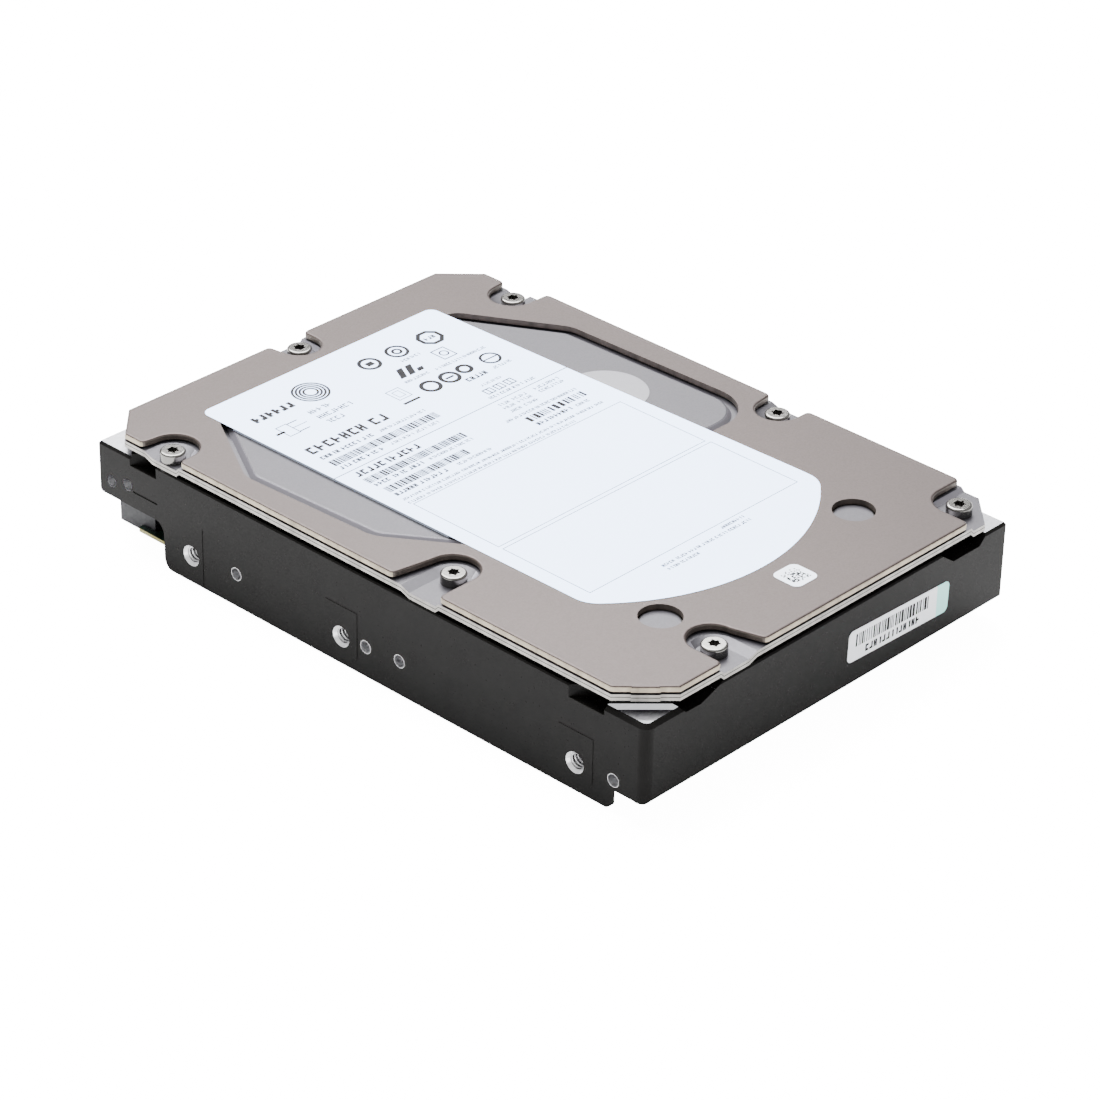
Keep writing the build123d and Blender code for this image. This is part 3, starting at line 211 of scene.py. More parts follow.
def casting_material():
    """Black coated casting with bare machined pads, bare holes and threads in the screw holes.

    The near corner's pad has two glowing bands of painted reflection across it, set by the distance along
    its diagonal."""
    shader = Shader("casting_black")
    x, y, z = shader.axes()
    depth = shader.math("ABSOLUTE", x)
    normal = shader.add("ShaderNodeNewGeometry").outputs["Normal"]
    up = shader.add("ShaderNodeSeparateXYZ", Vector=normal).outputs[2]
    bare = shader.math("MULTIPLY", shader.band(z, (PAD_Z - FLAT_SLACK) * MM, (PAD_Z + FLAT_SLACK) * MM),
                       shader.math("GREATER_THAN", up, LEVEL_UP))
    drilled = None
    inside = shader.math("LESS_THAN", depth, SIDE_FACE_X * MM)
    outer_half = shader.math("GREATER_THAN", depth, HOLES_INNER_X * MM)
    for centre in SIDE_SCREWS + TOOLING:
        radius = SIDE_SCREW_BARE_R if centre in SIDE_SCREWS else TOOLING_BARE_R
        here = shader.math("MULTIPLY", circle_mask(shader, y, z, centre, radius), inside)
        here = shader.math("MULTIPLY", here, outer_half)
        drilled = here if drilled is None else shader.math("MAXIMUM", drilled, here)
    for centre in BOTTOM_SCREWS:
        here = shader.math("MULTIPLY", circle_mask(shader, depth, y, centre, BOTTOM_BARE_R),
                           shader.math("LESS_THAN", z, BOTTOM_BARE_TOP_Z * MM))
        drilled = shader.math("MAXIMUM", drilled, here)
    bare = shader.math("MAXIMUM", bare, drilled)
    height = None
    for centre in SIDE_SCREWS:
        angle = shader.math("ARCTAN2", shader.math("SUBTRACT", z, centre[1] * MM),
                            shader.math("SUBTRACT", y, centre[0] * MM))
        turn = shader.math("ADD", shader.math("MULTIPLY", x, 2 * math.pi / (THREAD_PITCH * MM)), angle)
        wave = shader.math("SINE", turn)
        zone = shader.math("MULTIPLY", circle_mask(shader, y, z, centre, THREAD_BARE_R), inside)
        ridge = shader.math("MULTIPLY", wave, zone)
        height = ridge if height is None else shader.math("ADD", height, ridge)
    cloud = shader.noise(220.0)
    skin = shader.noise(1500.0, 3.0)
    machined = shader.noise(900.0, 2.0, 0.5, (1.0, 14.0, 1.0))
    coat_mottle = shader.vary(cloud, 0.0, 1.0)
    coat_colour = shader.mix(coat_mottle, (0.0040, 0.0037, 0.0035), (0.0058, 0.0054, 0.0051))
    metal_colour = shader.mix(shader.vary(machined, 0.0, 1.0), (0.26, 0.26, 0.28), (0.44, 0.44, 0.46))
    metal_colour = shader.mix(drilled, metal_colour, (0.80, 0.80, 0.81))
    # painted shade: the floors of the blind tooling holes are painted darker than the bare metal of their
    # walls
    at_floor = shader.band(depth, TOOLING_FLOOR - FLOOR_SLACK, TOOLING_FLOOR + FLOOR_SLACK)
    blind = shader.math("MULTIPLY", drilled, at_floor)
    metal_colour = shader.mix(blind, metal_colour, (0.13, 0.13, 0.135))
    # painted shade: the thread grooves in the side screw holes are painted darker than the bare metal
    groove = shader.math("MULTIPLY", shader.math("LESS_THAN", height, GROOVE_LEVEL), 0.75)
    metal_colour = shader.mix(groove, metal_colour, (0.06, 0.06, 0.06))
    shader.set(Base_Color=shader.mix(bare, coat_colour, metal_colour))
    shader.set(Metallic=bare)
    # painted reflection: two glowing bands across the near corner's bare pad stand in for light that the
    # machined metal reflects
    corner_sum = shader.math("SUBTRACT", 0.0, shader.math("ADD", x, y))
    painted_glint = shader.math("MAXIMUM", shader.band(corner_sum, NEAR_BAND[0] * MM, NEAR_BAND[1] * MM),
                        shader.band(corner_sum, NEAR_TIP[0] * MM, NEAR_TIP[1] * MM))
    painted_glint = shader.math("MULTIPLY", painted_glint, shader.math("SUBTRACT", bare, drilled))
    shader.set(Emission_Color=(0.95, 0.97, 1.0, 1.0))
    shader.set(Emission_Strength=shader.math("MULTIPLY", painted_glint, shader.vary(machined, 0.7, 1.1)))
    coat_roughness = shader.vary(skin, 0.27, 0.34)
    shader.set(Roughness=shader.math("ADD", coat_roughness, shader.math("MULTIPLY", bare, 0.02)))
    shader.bsdf.inputs["Specular IOR Level"].default_value = COAT_SHEEN
    shader.bump(skin, 0.03, COAT_RELIEF)
    shader.bump(height, 0.9, THREAD_DEPTH)
    return shader.material


ROUND_HOLES = ((-27.1, -54.9), (27.1, -54.9))
DOME_SHADE_RING = (3.75, 5.2)
PLATE_UNDERSIDE = 24.84 * MM
SLOPE_LOW = 0.55
SLOPE_HIGH = 0.85
SHEET_RIM = (-50.3, 50.2, -72.9, 70.1, 114.6)


def sheet_metal(name, base, cut, shade, roughness, slope_painted_light=1.0):
    """Rolled sheet: matt face, pale cut edge on its outline, painted shade on the walls inside its notches
    and openings and in a ring round each round hole's dome.

    SHEET_RIM says what counts as inside: low x, high x, low y, high y and the slant of the near corner.
    The last argument scales the colour of the pressed slopes: painted light that lifts them out of their
    shade."""
    shader = Shader(name)
    x, y, z = shader.axes()
    normal = shader.add("ShaderNodeNewGeometry").outputs["Normal"]
    parts = shader.add("ShaderNodeSeparateXYZ", Vector=normal).outputs
    upright = shader.math("LESS_THAN", shader.math("ABSOLUTE", parts[2]), SLOPE_LOW)
    low_x, high_x, low_y, high_y, slant = (v * MM for v in SHEET_RIM)
    inner = shader.band(x, low_x, high_x)
    inner = shader.math("MULTIPLY", inner, shader.band(y, low_y, high_y))
    corner_sum = shader.math("SUBTRACT", 0.0, shader.math("ADD", x, y))
    inner = shader.math("MULTIPLY", inner, shader.math("LESS_THAN", corner_sum, slant))
    grains = shader.noise(2600.0, 4.0, 0.6)
    cloud = shader.noise(104.0, 3.0, 0.5)
    face = shader.mix(shader.vary(cloud, 0.2, 0.8), scaled(base, 0.97), scaled(base, 1.03))
    # painted light: the pressed slopes take a lighter colour, scaled by the last argument
    slope = shader.band(parts[2], SLOPE_LOW, SLOPE_HIGH)
    face = shader.mix(slope, face, scaled(base, slope_painted_light))
    streak = shader.vary(shader.noise(420.0, 2.0, 0.5, (1.0, 1.0, 0.1)), 0.7, 1.25)
    # painted shade: a near black ring round the dome of each round hole, below the plate
    for centre in ROUND_HOLES:
        ring = shader.math("SUBTRACT", circle_mask(shader, x, y, centre, DOME_SHADE_RING[1]),
                           circle_mask(shader, x, y, centre, DOME_SHADE_RING[0]))
        ring = shader.math("MULTIPLY", ring, shader.math("LESS_THAN", z, PLATE_UNDERSIDE))
        face = shader.mix(shader.math("MULTIPLY", ring, 0.9), face, (0.012, 0.011, 0.010))
    # painted shade: walls inside the notches and openings take the shade colour, while the outer outline
    # keeps the pale cut colour
    wall = shader.mix(inner, cut, shade)
    wall_tone = shader.add("ShaderNodeVectorMath", Vector=wall)
    wall_tone.operation = "SCALE"
    shader.feed(wall_tone.inputs["Scale"], streak)
    shader.set(Base_Color=shader.mix(upright, face, wall_tone.outputs[0]))
    shader.set(Metallic=shader.mix_value(upright, 0.6, 0.35))
    shader.set(Roughness=shader.vary(grains, roughness * 0.85, roughness * 1.15))
    shader.bump(grains, 0.12, SKIN_RELIEF)
    return shader.material


def ring_grooves(name, base, axis, pitch, roughness):
    """A turned surface with fine rings about an upright axis."""
    shader = Shader(name)
    x, y, z = shader.axes()
    dx = shader.math("SUBTRACT", x, axis[0] * MM)
    dy = shader.math("SUBTRACT", y, axis[1] * MM)
    square = shader.math("ADD", shader.math("MULTIPLY", dx, dx), shader.math("MULTIPLY", dy, dy))
    radius = shader.math("SQRT", square)
    wave = shader.math("SINE", shader.math("MULTIPLY", radius, 2 * math.pi / (pitch * MM)))
    share = shader.math("ADD", shader.math("MULTIPLY", wave, 0.5), 0.5)
    shader.set(Base_Color=shader.mix(share, scaled(base, 0.9), scaled(base, 1.08)))
    shader.set(Metallic=1.0)
    shader.set(Roughness=shader.vary(shader.noise(700.0), roughness * 0.8, roughness * 1.2))
    shader.bump(wave, 0.12, GROOVE_RELIEF)
    return shader.material


def two_tone_strip(name, base, strip, limit_x):
    """The front sticker's paper, with a coloured strip at its right end."""
    shader = Shader(name)
    x, y, z = shader.axes()
    paper = shader.mix(shader.vary(shader.noise(600.0), 0.0, 1.0), base, scaled(base, 0.96))
    shader.set(Base_Color=shader.mix(shader.math("GREATER_THAN", x, limit_x * MM), paper, strip))
    shader.set(Roughness=0.45)
    return shader.material


def paper_with_painted_glow(name, base, glow_colour, glow):
    """White paper whose upper face is given a faint painted blue glow, a painted light that makes it
    brighter than its lit colour.
    """
    shader = plain_surface(name, base, roughness=0.42, grain=1200.0, spread=0.008, bump=0.05)
    normal = shader.add("ShaderNodeNewGeometry").outputs["Normal"]
    up = shader.add("ShaderNodeSeparateXYZ", Vector=normal).outputs[2]
    # painted light: only the upward faces glow
    shader.set(Emission_Color=colour(glow_colour))
    shader.set(Emission_Strength=shader.math("MULTIPLY", shader.math("GREATER_THAN", up, LEVEL_UP), glow))
    return shader.material


def laminate_material():
    """Green solder mask on both faces, pale glass laminate on the cut edges."""
    shader = Shader("board_green")
    normal = shader.add("ShaderNodeNewGeometry").outputs["Normal"]
    up = shader.math("ABSOLUTE", shader.add("ShaderNodeSeparateXYZ", Vector=normal).outputs[2])
    edge = shader.math("LESS_THAN", up, 0.5)
    tracks = shader.add("ShaderNodeTexBrick", Vector=shader.place, Scale=160.0).outputs[1]
    mask = shader.mix(tracks, (0.003, 0.012, 0.008), (0.005, 0.022, 0.012))
    fibre = shader.mix(shader.vary(shader.noise(1400.0), 0.0, 1.0), (0.34, 0.31, 0.10), (0.46, 0.42, 0.17))
    shader.set(Base_Color=shader.mix(edge, mask, fibre))
    shader.set(Roughness=shader.vary(shader.noise(500.0), 0.28, 0.4))
    return shader.material


SPINDLE = (0.0, -28.0)
PIVOT = (28.9, 10.4)
made = {
    "casting_black": casting_material(),
    "board_green": laminate_material(),
    "plate_steel": sheet_metal(
        "plate_steel", (0.043, 0.032, 0.0295), (0.34, 0.29, 0.215), (0.085, 0.07, 0.06), 0.42
    ),
    "cover_steel": sheet_metal(
        "cover_steel", (0.050, 0.048, 0.055), (0.30, 0.285, 0.265), (0.09, 0.09, 0.09), 0.42, 3.5
    ),
    "label_white": paper_with_painted_glow("label_white", (0.74, 0.84, 1.0), (0.22, 0.45, 1.0), 2.2),
    "bar_sticker": two_tone_strip("bar_sticker", (0.86, 0.88, 0.92), (0.36, 0.80, 0.74), 30.2),
    "machined_aluminium": ring_grooves("machined_aluminium", (0.72, 0.72, 0.74), SPINDLE, 0.35, 0.28),
    "motor_steel": ring_grooves("motor_steel", (0.50, 0.50, 0.50), PIVOT, 0.3, 0.3),
    "platter_mirror": ring_grooves("platter_mirror", (0.82, 0.83, 0.85), SPINDLE, 0.6, 0.05),
}
surfaces = {
    "gasket_rubber": dict(base=(0.006, 0.006, 0.006), roughness=0.85, bump=0.1),
    "damping_black": dict(base=(0.012, 0.011, 0.011), roughness=0.7),
    "damping_grey": dict(base=(0.012, 0.011, 0.010), roughness=0.6),
    "screw_steel": dict(
        base=(0.16, 0.155, 0.148), metallic=1.0, roughness=0.2, grain=1800.0, spread=0.12, bump=0.2
    ),
    "code_sticker": dict(base=(0.74, 0.80, 0.90), roughness=0.45, spread=0.02, bump=0.05),
    "seal_foil": dict(base=(0.17, 0.17, 0.185), metallic=0.5, roughness=0.4, spread=0.03, bump=0.08),
    "foam_grey": dict(base=(0.09, 0.09, 0.09), roughness=0.9, bump=0.5),
    "chip_black": dict(base=(0.02, 0.02, 0.022), roughness=0.5, bump=0.2),
    "parts_ceramic": dict(base=(0.45, 0.36, 0.26), roughness=0.4, spread=0.2),
    "connector_black": dict(base=(0.0055, 0.0056, 0.0085), roughness=0.5, bump=0.2, sheen=0.3),
    "contact_gold": dict(base=(0.85, 0.62, 0.25), metallic=1.0, roughness=0.2),
    "lamination_steel": dict(base=(0.20, 0.20, 0.21), metallic=0.9, roughness=0.5, stretch=(0.1, 0.1, 6.0)),
    "winding_copper": dict(
        base=(0.72, 0.32, 0.14), metallic=0.9, roughness=0.3, stretch=(0.2, 0.2, 8.0), bump=0.5
    ),
    "bearing_chrome": dict(base=(0.75, 0.75, 0.76), metallic=1.0, roughness=0.08),
    "magnet_nickel": dict(base=(0.62, 0.61, 0.58), metallic=1.0, roughness=0.22),
    "spring_steel": dict(base=(0.62, 0.62, 0.62), metallic=1.0, roughness=0.3),
    "slider_ceramic": dict(base=(0.05, 0.05, 0.055), roughness=0.2),
    "mould_black": dict(base=(0.03, 0.03, 0.03), roughness=0.35, bump=0.2),
    "flex_amber": dict(base=(0.55, 0.24, 0.04), roughness=0.25, spread=0.15),
    "filter_white": dict(base=(0.82, 0.82, 0.80), roughness=0.95, bump=0.6),
}
for slot_name, values in surfaces.items():
    made[slot_name] = plain_surface(slot_name, **values).material


for entry in record["subparts"]:
    mesh = nodes[entry["node"]].data
    mesh.materials.clear()
    mesh.materials.append(made[entry["material_slot"]])
    for polygon in mesh.polygons:
        polygon.material_index = 0


# ---------------------------------------------------------------- printed ink
STROKE_GAIN = 1.45


class Ink:
    """Collects flat patches of print in millimetres on one plane and makes one mesh of them."""

    def __init__(self, to_world):
        self.to_world = to_world
        self.verts = []
        self.faces = []

    def patch(self, corners):
        start = len(self.verts)
        self.verts.extend(self.to_world(a, b) for a, b in corners)
        self.faces.append(tuple(range(start, start + len(corners))))

    def bar(self, a0, b0, a1, b1):
        self.patch(((a0, b0), (a1, b0), (a1, b1), (a0, b1)))

    def frame(self, a0, b0, a1, b1, line):
        self.bar(a0, b0, a1, b0 + line)
        self.bar(a0, b1 - line, a1, b1)
        self.bar(a0, b0 + line, a0 + line, b1 - line)
        self.bar(a1 - line, b0 + line, a1, b1 - line)

    def ring(self, a, b, outer, inner, steps=48, start=0.0, sweep=360.0):
        for k in range(steps):
            t0 = math.radians(start + sweep * k / steps)
            t1 = math.radians(start + sweep * (k + 1) / steps)
            self.patch((
                (a + inner * math.cos(t0), b + inner * math.sin(t0)),
                (a + outer * math.cos(t0), b + outer * math.sin(t0)),
                (a + outer * math.cos(t1), b + outer * math.sin(t1)),
                (a + inner * math.cos(t1), b + inner * math.sin(t1)),
            ))

    def bars(self, a0, b0, a1, b1, seed, share=0.68, unit=0.19):
        """A row of bars of uneven width."""
        rng = random.Random(seed)
        a = a0
        while a < a1:
            width = unit * rng.choice((1, 1, 2, 3))
            gap = unit * rng.choice((1, 1, 2)) * (1 - share) * 2
            self.bar(a, b0, min(a + width, a1), b1)
            a += width + gap

    def glyphs(self, a0, b0, a1, b1, seed, weight=0.2, gap_every=7):
        """A row of meaningless stroke marks that only suggests print."""
        rng = random.Random(seed)
        tall = b1 - b0
        wide = tall * 0.62
        line = tall * weight * STROKE_GAIN
        a = a0
        count = 0
        while a + wide <= a1 + 0.01:
            count += 1
            if gap_every and count % gap_every == 0:
                a += wide * 0.8
                continue
            kind = rng.randrange(5)
            right = a + wide
            middle = (b0 + b1) / 2
            if kind in (0, 1, 3):
                self.bar(a, b0, a + line, b1)
            if kind in (1, 2, 4):
                self.bar(right - line, b0, right, b1)
            if kind in (0, 2):
                self.bar(a + line, b1 - line, right - (line if kind == 2 else 0), b1)
            if kind in (0, 4):
                self.bar(a + (line if kind == 0 else 0), b0, right - (line if kind == 4 else 0), b0 + line)
            if kind in (1, 3):
                self.bar(a + line, middle - line / 2, right - (line if kind == 1 else 0), middle + line / 2)
            a += wide * 1.32

    def build(self, name, material, body):
        mesh = bpy.data.meshes.new(name)
        mesh.from_pydata(self.verts, [], self.faces)
        mesh.materials.append(material)
        obj = bpy.data.objects.new(name, mesh)
        bpy.context.scene.collection.objects.link(obj)
        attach(obj, body)
        return obj


def ink_material(name, base):
    return plain_surface(name, base, roughness=0.6, grain=800.0, spread=0.1, bump=0.0, sheen=0.1).material


INK_GAP = 0.004
label_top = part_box("main_label")[1].z / MM + INK_GAP


def on_label(a, b):
    return (a * MM, b * MM, label_top * MM)


dark = Ink(on_label)
grey = Ink(on_label)
pale = Ink(on_label)

# upper field, left: a plain mark, a word-like bar and an outlined symbol
dark.glyphs(-29.9, 48.3, -18.9, 50.5, 11, 0.26, 0)
for step in range(4):
    grey.ring(-13.6, 50.4, 3.95 - 0.75 * step, 3.45 - 0.75 * step)
grey.frame(-28.9, 39.9, -26.0, 44.4, 0.22)
dark.bar(-30.5, 41.8, -28.3, 42.5)
grey.bar(-26.0, 43.9, -23.4, 44.2)
grey.bar(-26.0, 42.1, -22.4, 42.3)
grey.bar(-26.0, 40.1, -23.4, 40.4)
grey.glyphs(-19.8, 43.6, -13.8, 45.0, 21, 0.14, 0)
grey.glyphs(-19.8, 41.0, -10.9, 42.4, 22, 0.14, 0)
grey.glyphs(-19.8, 38.5, -14.8, 39.9, 23, 0.14, 0)
dark.glyphs(-30.7, 31.7, -8.8, 34.4, 31, 0.18, 8)
dark.glyphs(-30.7, 28.9, -16.4, 30.1, 32, 0.2, 6)
grey.glyphs(-15.2, 29.0, -2.4, 29.9, 33, 0.16, 0)
grey.bars(-30.7, 25.4, -2.3, 27.7, 41)
dark.glyphs(-30.7, 23.6, -19.0, 24.8, 34, 0.2, 4)
grey.glyphs(-17.2, 23.8, -4.1, 24.7, 35, 0.16, 5)
dark.bar(-34.4, 22.0, 29.85, 22.22)

# upper field, right: plain round, square and bar symbols
dark.ring(2.9, 50.7, 2.55, 1.75)
dark.bar(2.0, 49.9, 3.8, 51.4)
dark.ring(10.5, 50.7, 2.55, 1.85)
dark.ring(10.5, 50.7, 1.2, 0.6)
dark.ring(19.5, 50.3, 3.1, 2.15, 8, 22.5)
grey.glyphs(18.0, 49.7, 21.2, 50.9, 24, 0.2, 0)
grey.glyphs(8.2, 46.5, 13.8, 47.4, 25, 0.16, 0)
dark.patch(((2.9, 41.6), (4.5, 41.6), (6.3, 45.1), (4.7, 45.1)))
dark.patch(((5.3, 41.6), (6.9, 41.6), (8.7, 45.1), (7.1, 45.1)))
dark.patch(((7.7, 41.6), (9.3, 41.6), (9.9, 42.9), (8.3, 42.9)))
grey.frame(14.9, 41.4, 18.6, 45.8, 0.3)
grey.ring(16.8, 43.6, 1.1, 0.75)
grey.glyphs(2.4, 39.6, 9.2, 40.5, 26, 0.16, 0)
grey.glyphs(10.7, 39.3, 25.0, 40.2, 27, 0.16, 0)
grey.frame(-3.6, 35.5, 0.0, 39.8, 0.2)
grey.frame(-2.7, 36.4, -0.9, 38.9, 0.16)
dark.bar(-4.1, 33.5, 0.3, 34.2)
dark.ring(5.0, 35.5, 2.4, 1.5)
dark.ring(10.3, 35.5, 2.4, 1.5)
dark.bar(9.2, 35.2, 11.4, 35.8)
dark.ring(14.9, 36.0, 1.9, 1.0)
dark.ring(21.9, 35.6, 2.35, 1.75)
dark.bar(20.0, 35.4, 23.8, 35.8)
dark.glyphs(11.7, 31.4, 17.9, 32.8, 28, 0.2, 0)
grey.glyphs(19.2, 31.7, 24.6, 32.6, 29, 0.16, 0)
pale.glyphs(12.1, 28.2, 18.0, 29.0, 30, 0.16, 0)
for left in (10.6, 13.5, 16.4):
    dark.frame(left, 24.9, left + 2.3, 27.1, 0.3)
    dark.bar(left + 1.0, 25.2, left + 1.3, 26.8)
grey.glyphs(9.3, 23.3, 22.7, 24.2, 36, 0.18, 5)

# lower field: bar rows and small print
dark.glyphs(-30.5, 19.2, -12.4, 21.1, 37, 0.2, 0)
grey.bars(-30.7, 16.0, -4.2, 18.2, 42)
dark.glyphs(-30.5, 14.3, -17.6, 15.5, 38, 0.2, 5)
grey.glyphs(-16.0, 14.4, -4.1, 15.3, 39, 0.16, 0)
grey.bars(-30.3, 10.9, -8.6, 13.1, 43)
dark.glyphs(-30.3, 9.0, -15.8, 10.2, 51, 0.2, 7)
grey.glyphs(-13.9, 9.1, -4.0, 10.0, 52, 0.16, 0)
for row, low in enumerate((19.9, 18.4, 16.6)):
    grey.glyphs(8.6, low, 11.7, low + 0.95, 60 + row, 0.15, 0)
    grey.glyphs(12.6, low, 16.6, low + 0.95, 64 + row, 0.15, 0)
    if row < 2:
        grey.glyphs(18.7, low, 25.9, low + 0.95, 68 + row, 0.15, 0)
grey.glyphs(4.9, 14.3, 25.3, 15.2, 53, 0.16, 0)
dark.bars(8.6, 11.3, 24.5, 13.4, 44, 0.5, 0.3)
dark.glyphs(8.7, 9.3, 18.4, 10.5, 54, 0.2, 0)
grey.glyphs(19.6, 9.3, 23.5, 10.2, 55, 0.16, 0)
grey.glyphs(-30.7, 6.9, 24.6, 7.65, 56, 0.18, 9)
grey.glyphs(-30.7, 5.3, 14.9, 6.05, 57, 0.18, 8)
grey.frame(-30.43, -17.6, 27.05, 4.9, 0.16)
grey.frame(-30.4, -40.65, 27.6, -18.5, 0.16)
grey.glyphs(4.0, -42.3, 10.8, -41.5, 58, 0.18, 0)
grey.glyphs(-14.0, -43.9, 10.6, -43.1, 59, 0.18, 6)
grey.glyphs(-14.0, -45.4, -5.6, -44.6, 50, 0.18, 0)

ink_dark = ink_material("ink_dark", (0.004, 0.004, 0.006))
ink_grey = ink_material("ink_grey", (0.008, 0.0085, 0.011))
ink_pale = ink_material("ink_pale", (0.10, 0.105, 0.125))
dark.build("label_print_dark", ink_dark, "drive")
grey.build("label_print_grey", ink_grey, "drive")
pale.build("label_print_pale", ink_pale, "drive")

# the label's backing, seen edge-on where the label crosses the window over the raised cover
BACKING_INSET = 0.15
BACKING_WIDTH = 0.6


def backing_strip(name, near_x, far_x, front_y, rear_y):
    """A slim upright strip from the raised cover to the label, between two x values at each end."""
    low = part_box("inner_cover_upper")[1].z / MM + INK_GAP
    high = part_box("main_label")[0].z / MM - INK_GAP
    corners = []
    for z in (low, high):
        corners += [(near_x[0], front_y, z), (far_x[0], front_y, z)]
        corners += [(far_x[1], rear_y, z), (near_x[1], rear_y, z)]
    faces = [(3, 2, 1, 0), (4, 5, 6, 7), (0, 1, 5, 4), (1, 2, 6, 5), (2, 3, 7, 6), (3, 0, 4, 7)]
    mesh = bpy.data.meshes.new(name)
    mesh.from_pydata([tuple(v * MM for v in corner) for corner in corners], [], faces)
    mesh.materials.append(made["label_white"])
    obj = bpy.data.objects.new(name, mesh)
    bpy.context.scene.collection.objects.link(obj)
    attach(obj, "drive")


LABEL_LEFT = ((-33.7, -37.0), (-34.6, 59.4))
LABEL_RIGHT = ((31.4, -38.0), (28.9, 59.4))
LEFT_SPAN = (-7.9, 50.3)
RIGHT_SPAN = (-13.2, 50.9)


def edge_x(edge, y):
    """The x of a straight label edge at a given y."""
    (x0, y0), (x1, y1) = edge
    return x0 + (x1 - x0) * (y - y0) / (y1 - y0)


left_outer = [edge_x(LABEL_LEFT, y) + BACKING_INSET for y in LEFT_SPAN]
left_inner = [x + BACKING_WIDTH for x in left_outer]
backing_strip("label_backing_left", left_outer, left_inner, *LEFT_SPAN)
right_outer = [edge_x(LABEL_RIGHT, y) - BACKING_INSET for y in RIGHT_SPAN]
right_inner = [x - BACKING_WIDTH for x in right_outer]
backing_strip("label_backing_right", right_inner, right_outer, *RIGHT_SPAN)

# square code sticker: a block of small cells
code_low, code_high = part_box("matrix_sticker")
code_centre = ((code_low.x + code_high.x) / 2 / MM, (code_low.y + code_high.y) / 2 / MM)
code_z = code_high.z / MM + INK_GAP


def on_code(a, b):
    return ((code_centre[0] + a) * MM, (code_centre[1] + b) * MM, code_z * MM)


cells = Ink(on_code)
rng = random.Random(5)
cell = 0.3
for row in range(14):
    for column in range(14):
        if rng.random() < 0.45:
            a = (column - 7) * cell
            b = (row - 7) * cell
            cells.bar(a, b, a + cell, b + cell)
cells.build("code_cells", ink_dark, "drive")

# bar sticker on the front face
bar_low, bar_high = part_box("barcode_sticker")
bar_centre = ((bar_low.x + bar_high.x) / 2 / MM, (bar_low.z + bar_high.z) / 2 / MM)
bar_y = bar_low.y / MM - INK_GAP
TILT = math.radians(-1.9)


def on_front(a, b):
    x = bar_centre[0] + a * math.cos(TILT) - b * math.sin(TILT)
    z = bar_centre[1] + a * math.sin(TILT) + b * math.cos(TILT)
    return (x * MM, bar_y * MM, z * MM)


front_ink = Ink(on_front)
front_ink.bars(-12.6, -0.4, 8.6, 2.3, 71, 0.5, 0.22)
front_ink.glyphs(-9.6, -2.5, 6.4, -1.0, 72, 0.2, 0)
front_ink.build("bar_sticker_print", ink_dark, "drive")


# ---------------------------------------------------------------- flex ribbon
def bending_ribbon():
    """A copy of the ribbon at the original's place, which is hidden."""
    source = nodes["flex_ribbon"]
    ribbon = bpy.data.objects.new("flex_ribbon_bending", source.data.copy())
    bpy.context.scene.collection.objects.link(ribbon)
    ribbon.matrix_world = source.matrix_world
    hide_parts("flex_ribbon")
    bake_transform(ribbon)


bending_ribbon()


# ---------------------------------------------------------------- floor, light and camera
FLOOR_GLOW = 0.15


def stage_material(name, base, glow):
    """A matt floor that is white to the camera and gives only a faint light of its own."""
    shader = Shader(name)
    cloud = shader.noise(3.0)
    shader.set(Base_Color=shader.mix(shader.vary(cloud, 0.0, 1.0), base, scaled(base, 0.995)))
    shader.set(Roughness=0.9)
    shader.bsdf.inputs["Specular IOR Level"].default_value = 0.0
    seen = shader.add("ShaderNodeLightPath").outputs["Is Camera Ray"]
    shader.set(Emission_Color=(1.0, 1.0, 1.0, 1.0))
    shader.set(Emission_Strength=shader.math("ADD", shader.math("MULTIPLY", seen, glow), FLOOR_GLOW))
    return shader.material


FLOOR_HALF = 6.0
FLOOR_Z = -0.0002
WORLD_STRENGTH = 0.9
floor_mesh = bpy.data.meshes.new("floor")
floor_corners = [(a * FLOOR_HALF, b * FLOOR_HALF, FLOOR_Z) for a, b in ((-1, -1), (1, -1), (1, 1), (-1, 1))]
floor_mesh.from_pydata(floor_corners, [], [(0, 1, 2, 3)])
floor_mesh.materials.append(stage_material("floor_white", (0.85, 0.85, 0.85), 14.0))
floor = bpy.data.objects.new("floor", floor_mesh)
bpy.context.scene.collection.objects.link(floor)

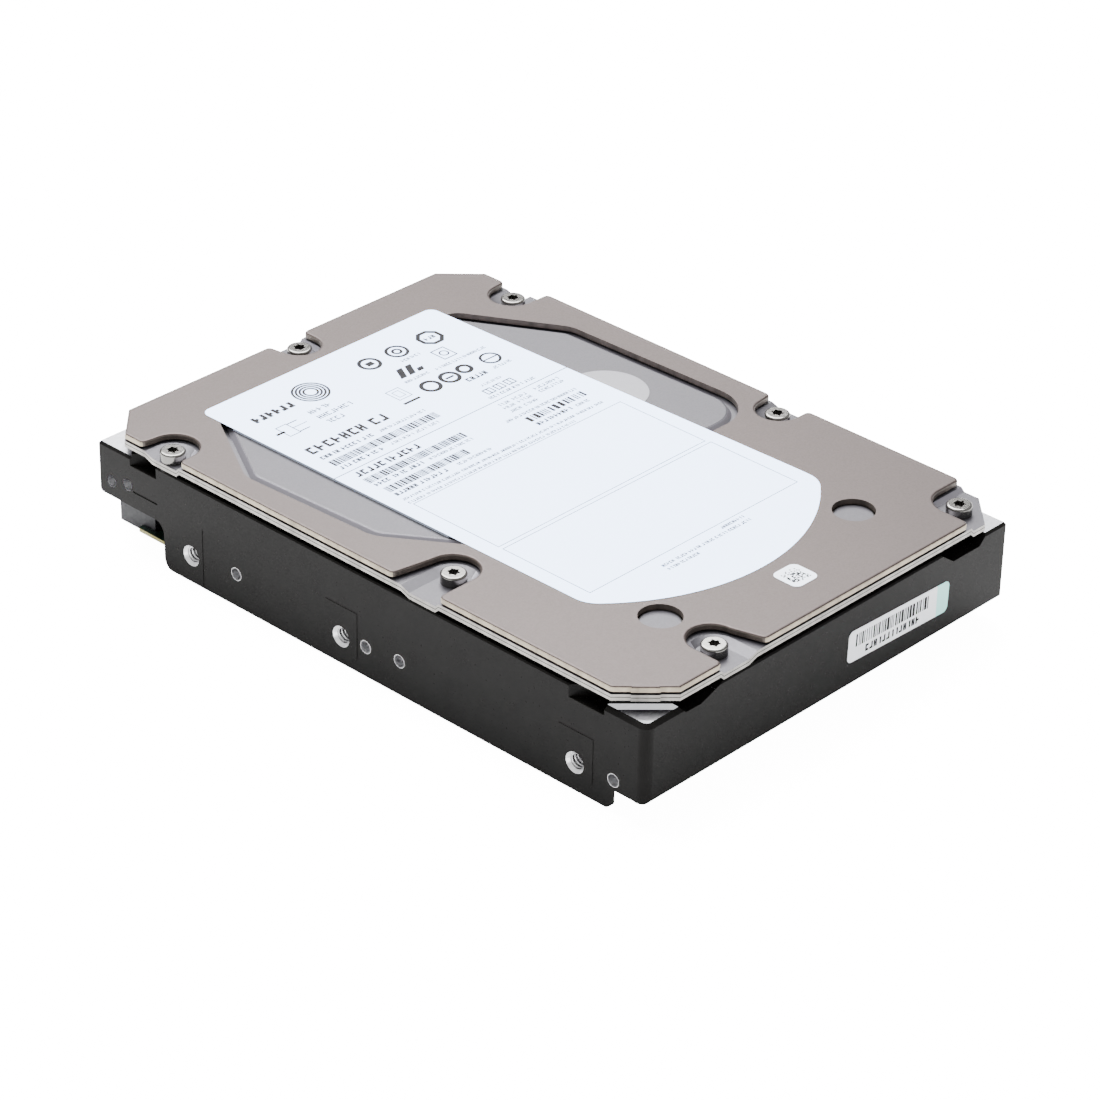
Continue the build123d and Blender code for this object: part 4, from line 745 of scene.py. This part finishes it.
world = bpy.data.worlds.new("studio")
bpy.context.scene.world = world
world.use_nodes = True
world.node_tree.nodes["Background"].inputs[0].default_value = (1.0, 1.0, 1.0, 1.0)
world.node_tree.nodes["Background"].inputs[1].default_value = WORLD_STRENGTH


def area_light(name, place, target, size, energy, tint=(1.0, 1.0, 1.0)):
    data = bpy.data.lights.new(name, "AREA")
    data.shape = "RECTANGLE"
    data.size, data.size_y = size
    data.energy = energy
    data.color = tint
    lamp = bpy.data.objects.new(name, data)
    lamp.location = place
    direction = Vector(target) - Vector(place)
    lamp.rotation_euler = direction.to_track_quat("-Z", "Y").to_euler()
    bpy.context.scene.collection.objects.link(lamp)
    return lamp


area_light("key", (0.25, 0.55, 1.1), (0, 0, 0), (1.2, 1.2), 105.0)
area_light("fill", (-0.9, -0.2, 0.7), (0, 0, 0), (0.8, 0.8), 0.8)

AZIMUTH = math.radians(-47.063)
ELEVATION = math.radians(30.594)
ROLL = math.radians(1.190)
DISTANCE = 0.77899
SHIFT_RIGHT = 0.00151
SHIFT_UP = -0.006516
LENS_MM = 131.715
back = Vector((
    math.sin(AZIMUTH) * math.cos(ELEVATION),
    -math.cos(AZIMUTH) * math.cos(ELEVATION),
    math.sin(ELEVATION),
))
right = (-back).cross(Vector((0, 0, 1))).normalized()
up = right.cross(-back)
right_rolled = math.cos(ROLL) * right + math.sin(ROLL) * up
up_rolled = -math.sin(ROLL) * right + math.cos(ROLL) * up
target = Vector((0, 0, 0.013)) + SHIFT_RIGHT * right_rolled + SHIFT_UP * up_rolled
place = target + back * DISTANCE
camera_data = bpy.data.cameras.new("camera")
camera_data.lens = LENS_MM
camera_data.sensor_width = 36.0
camera_data.clip_start = 0.01
camera_data.clip_end = 50.0
camera = bpy.data.objects.new("camera", camera_data)
camera.matrix_world = Matrix((
    (right_rolled.x, up_rolled.x, back.x, place.x),
    (right_rolled.y, up_rolled.y, back.y, place.y),
    (right_rolled.z, up_rolled.z, back.z, place.z),
    (0, 0, 0, 1),
))
bpy.context.scene.collection.objects.link(camera)
bpy.context.scene.camera = camera
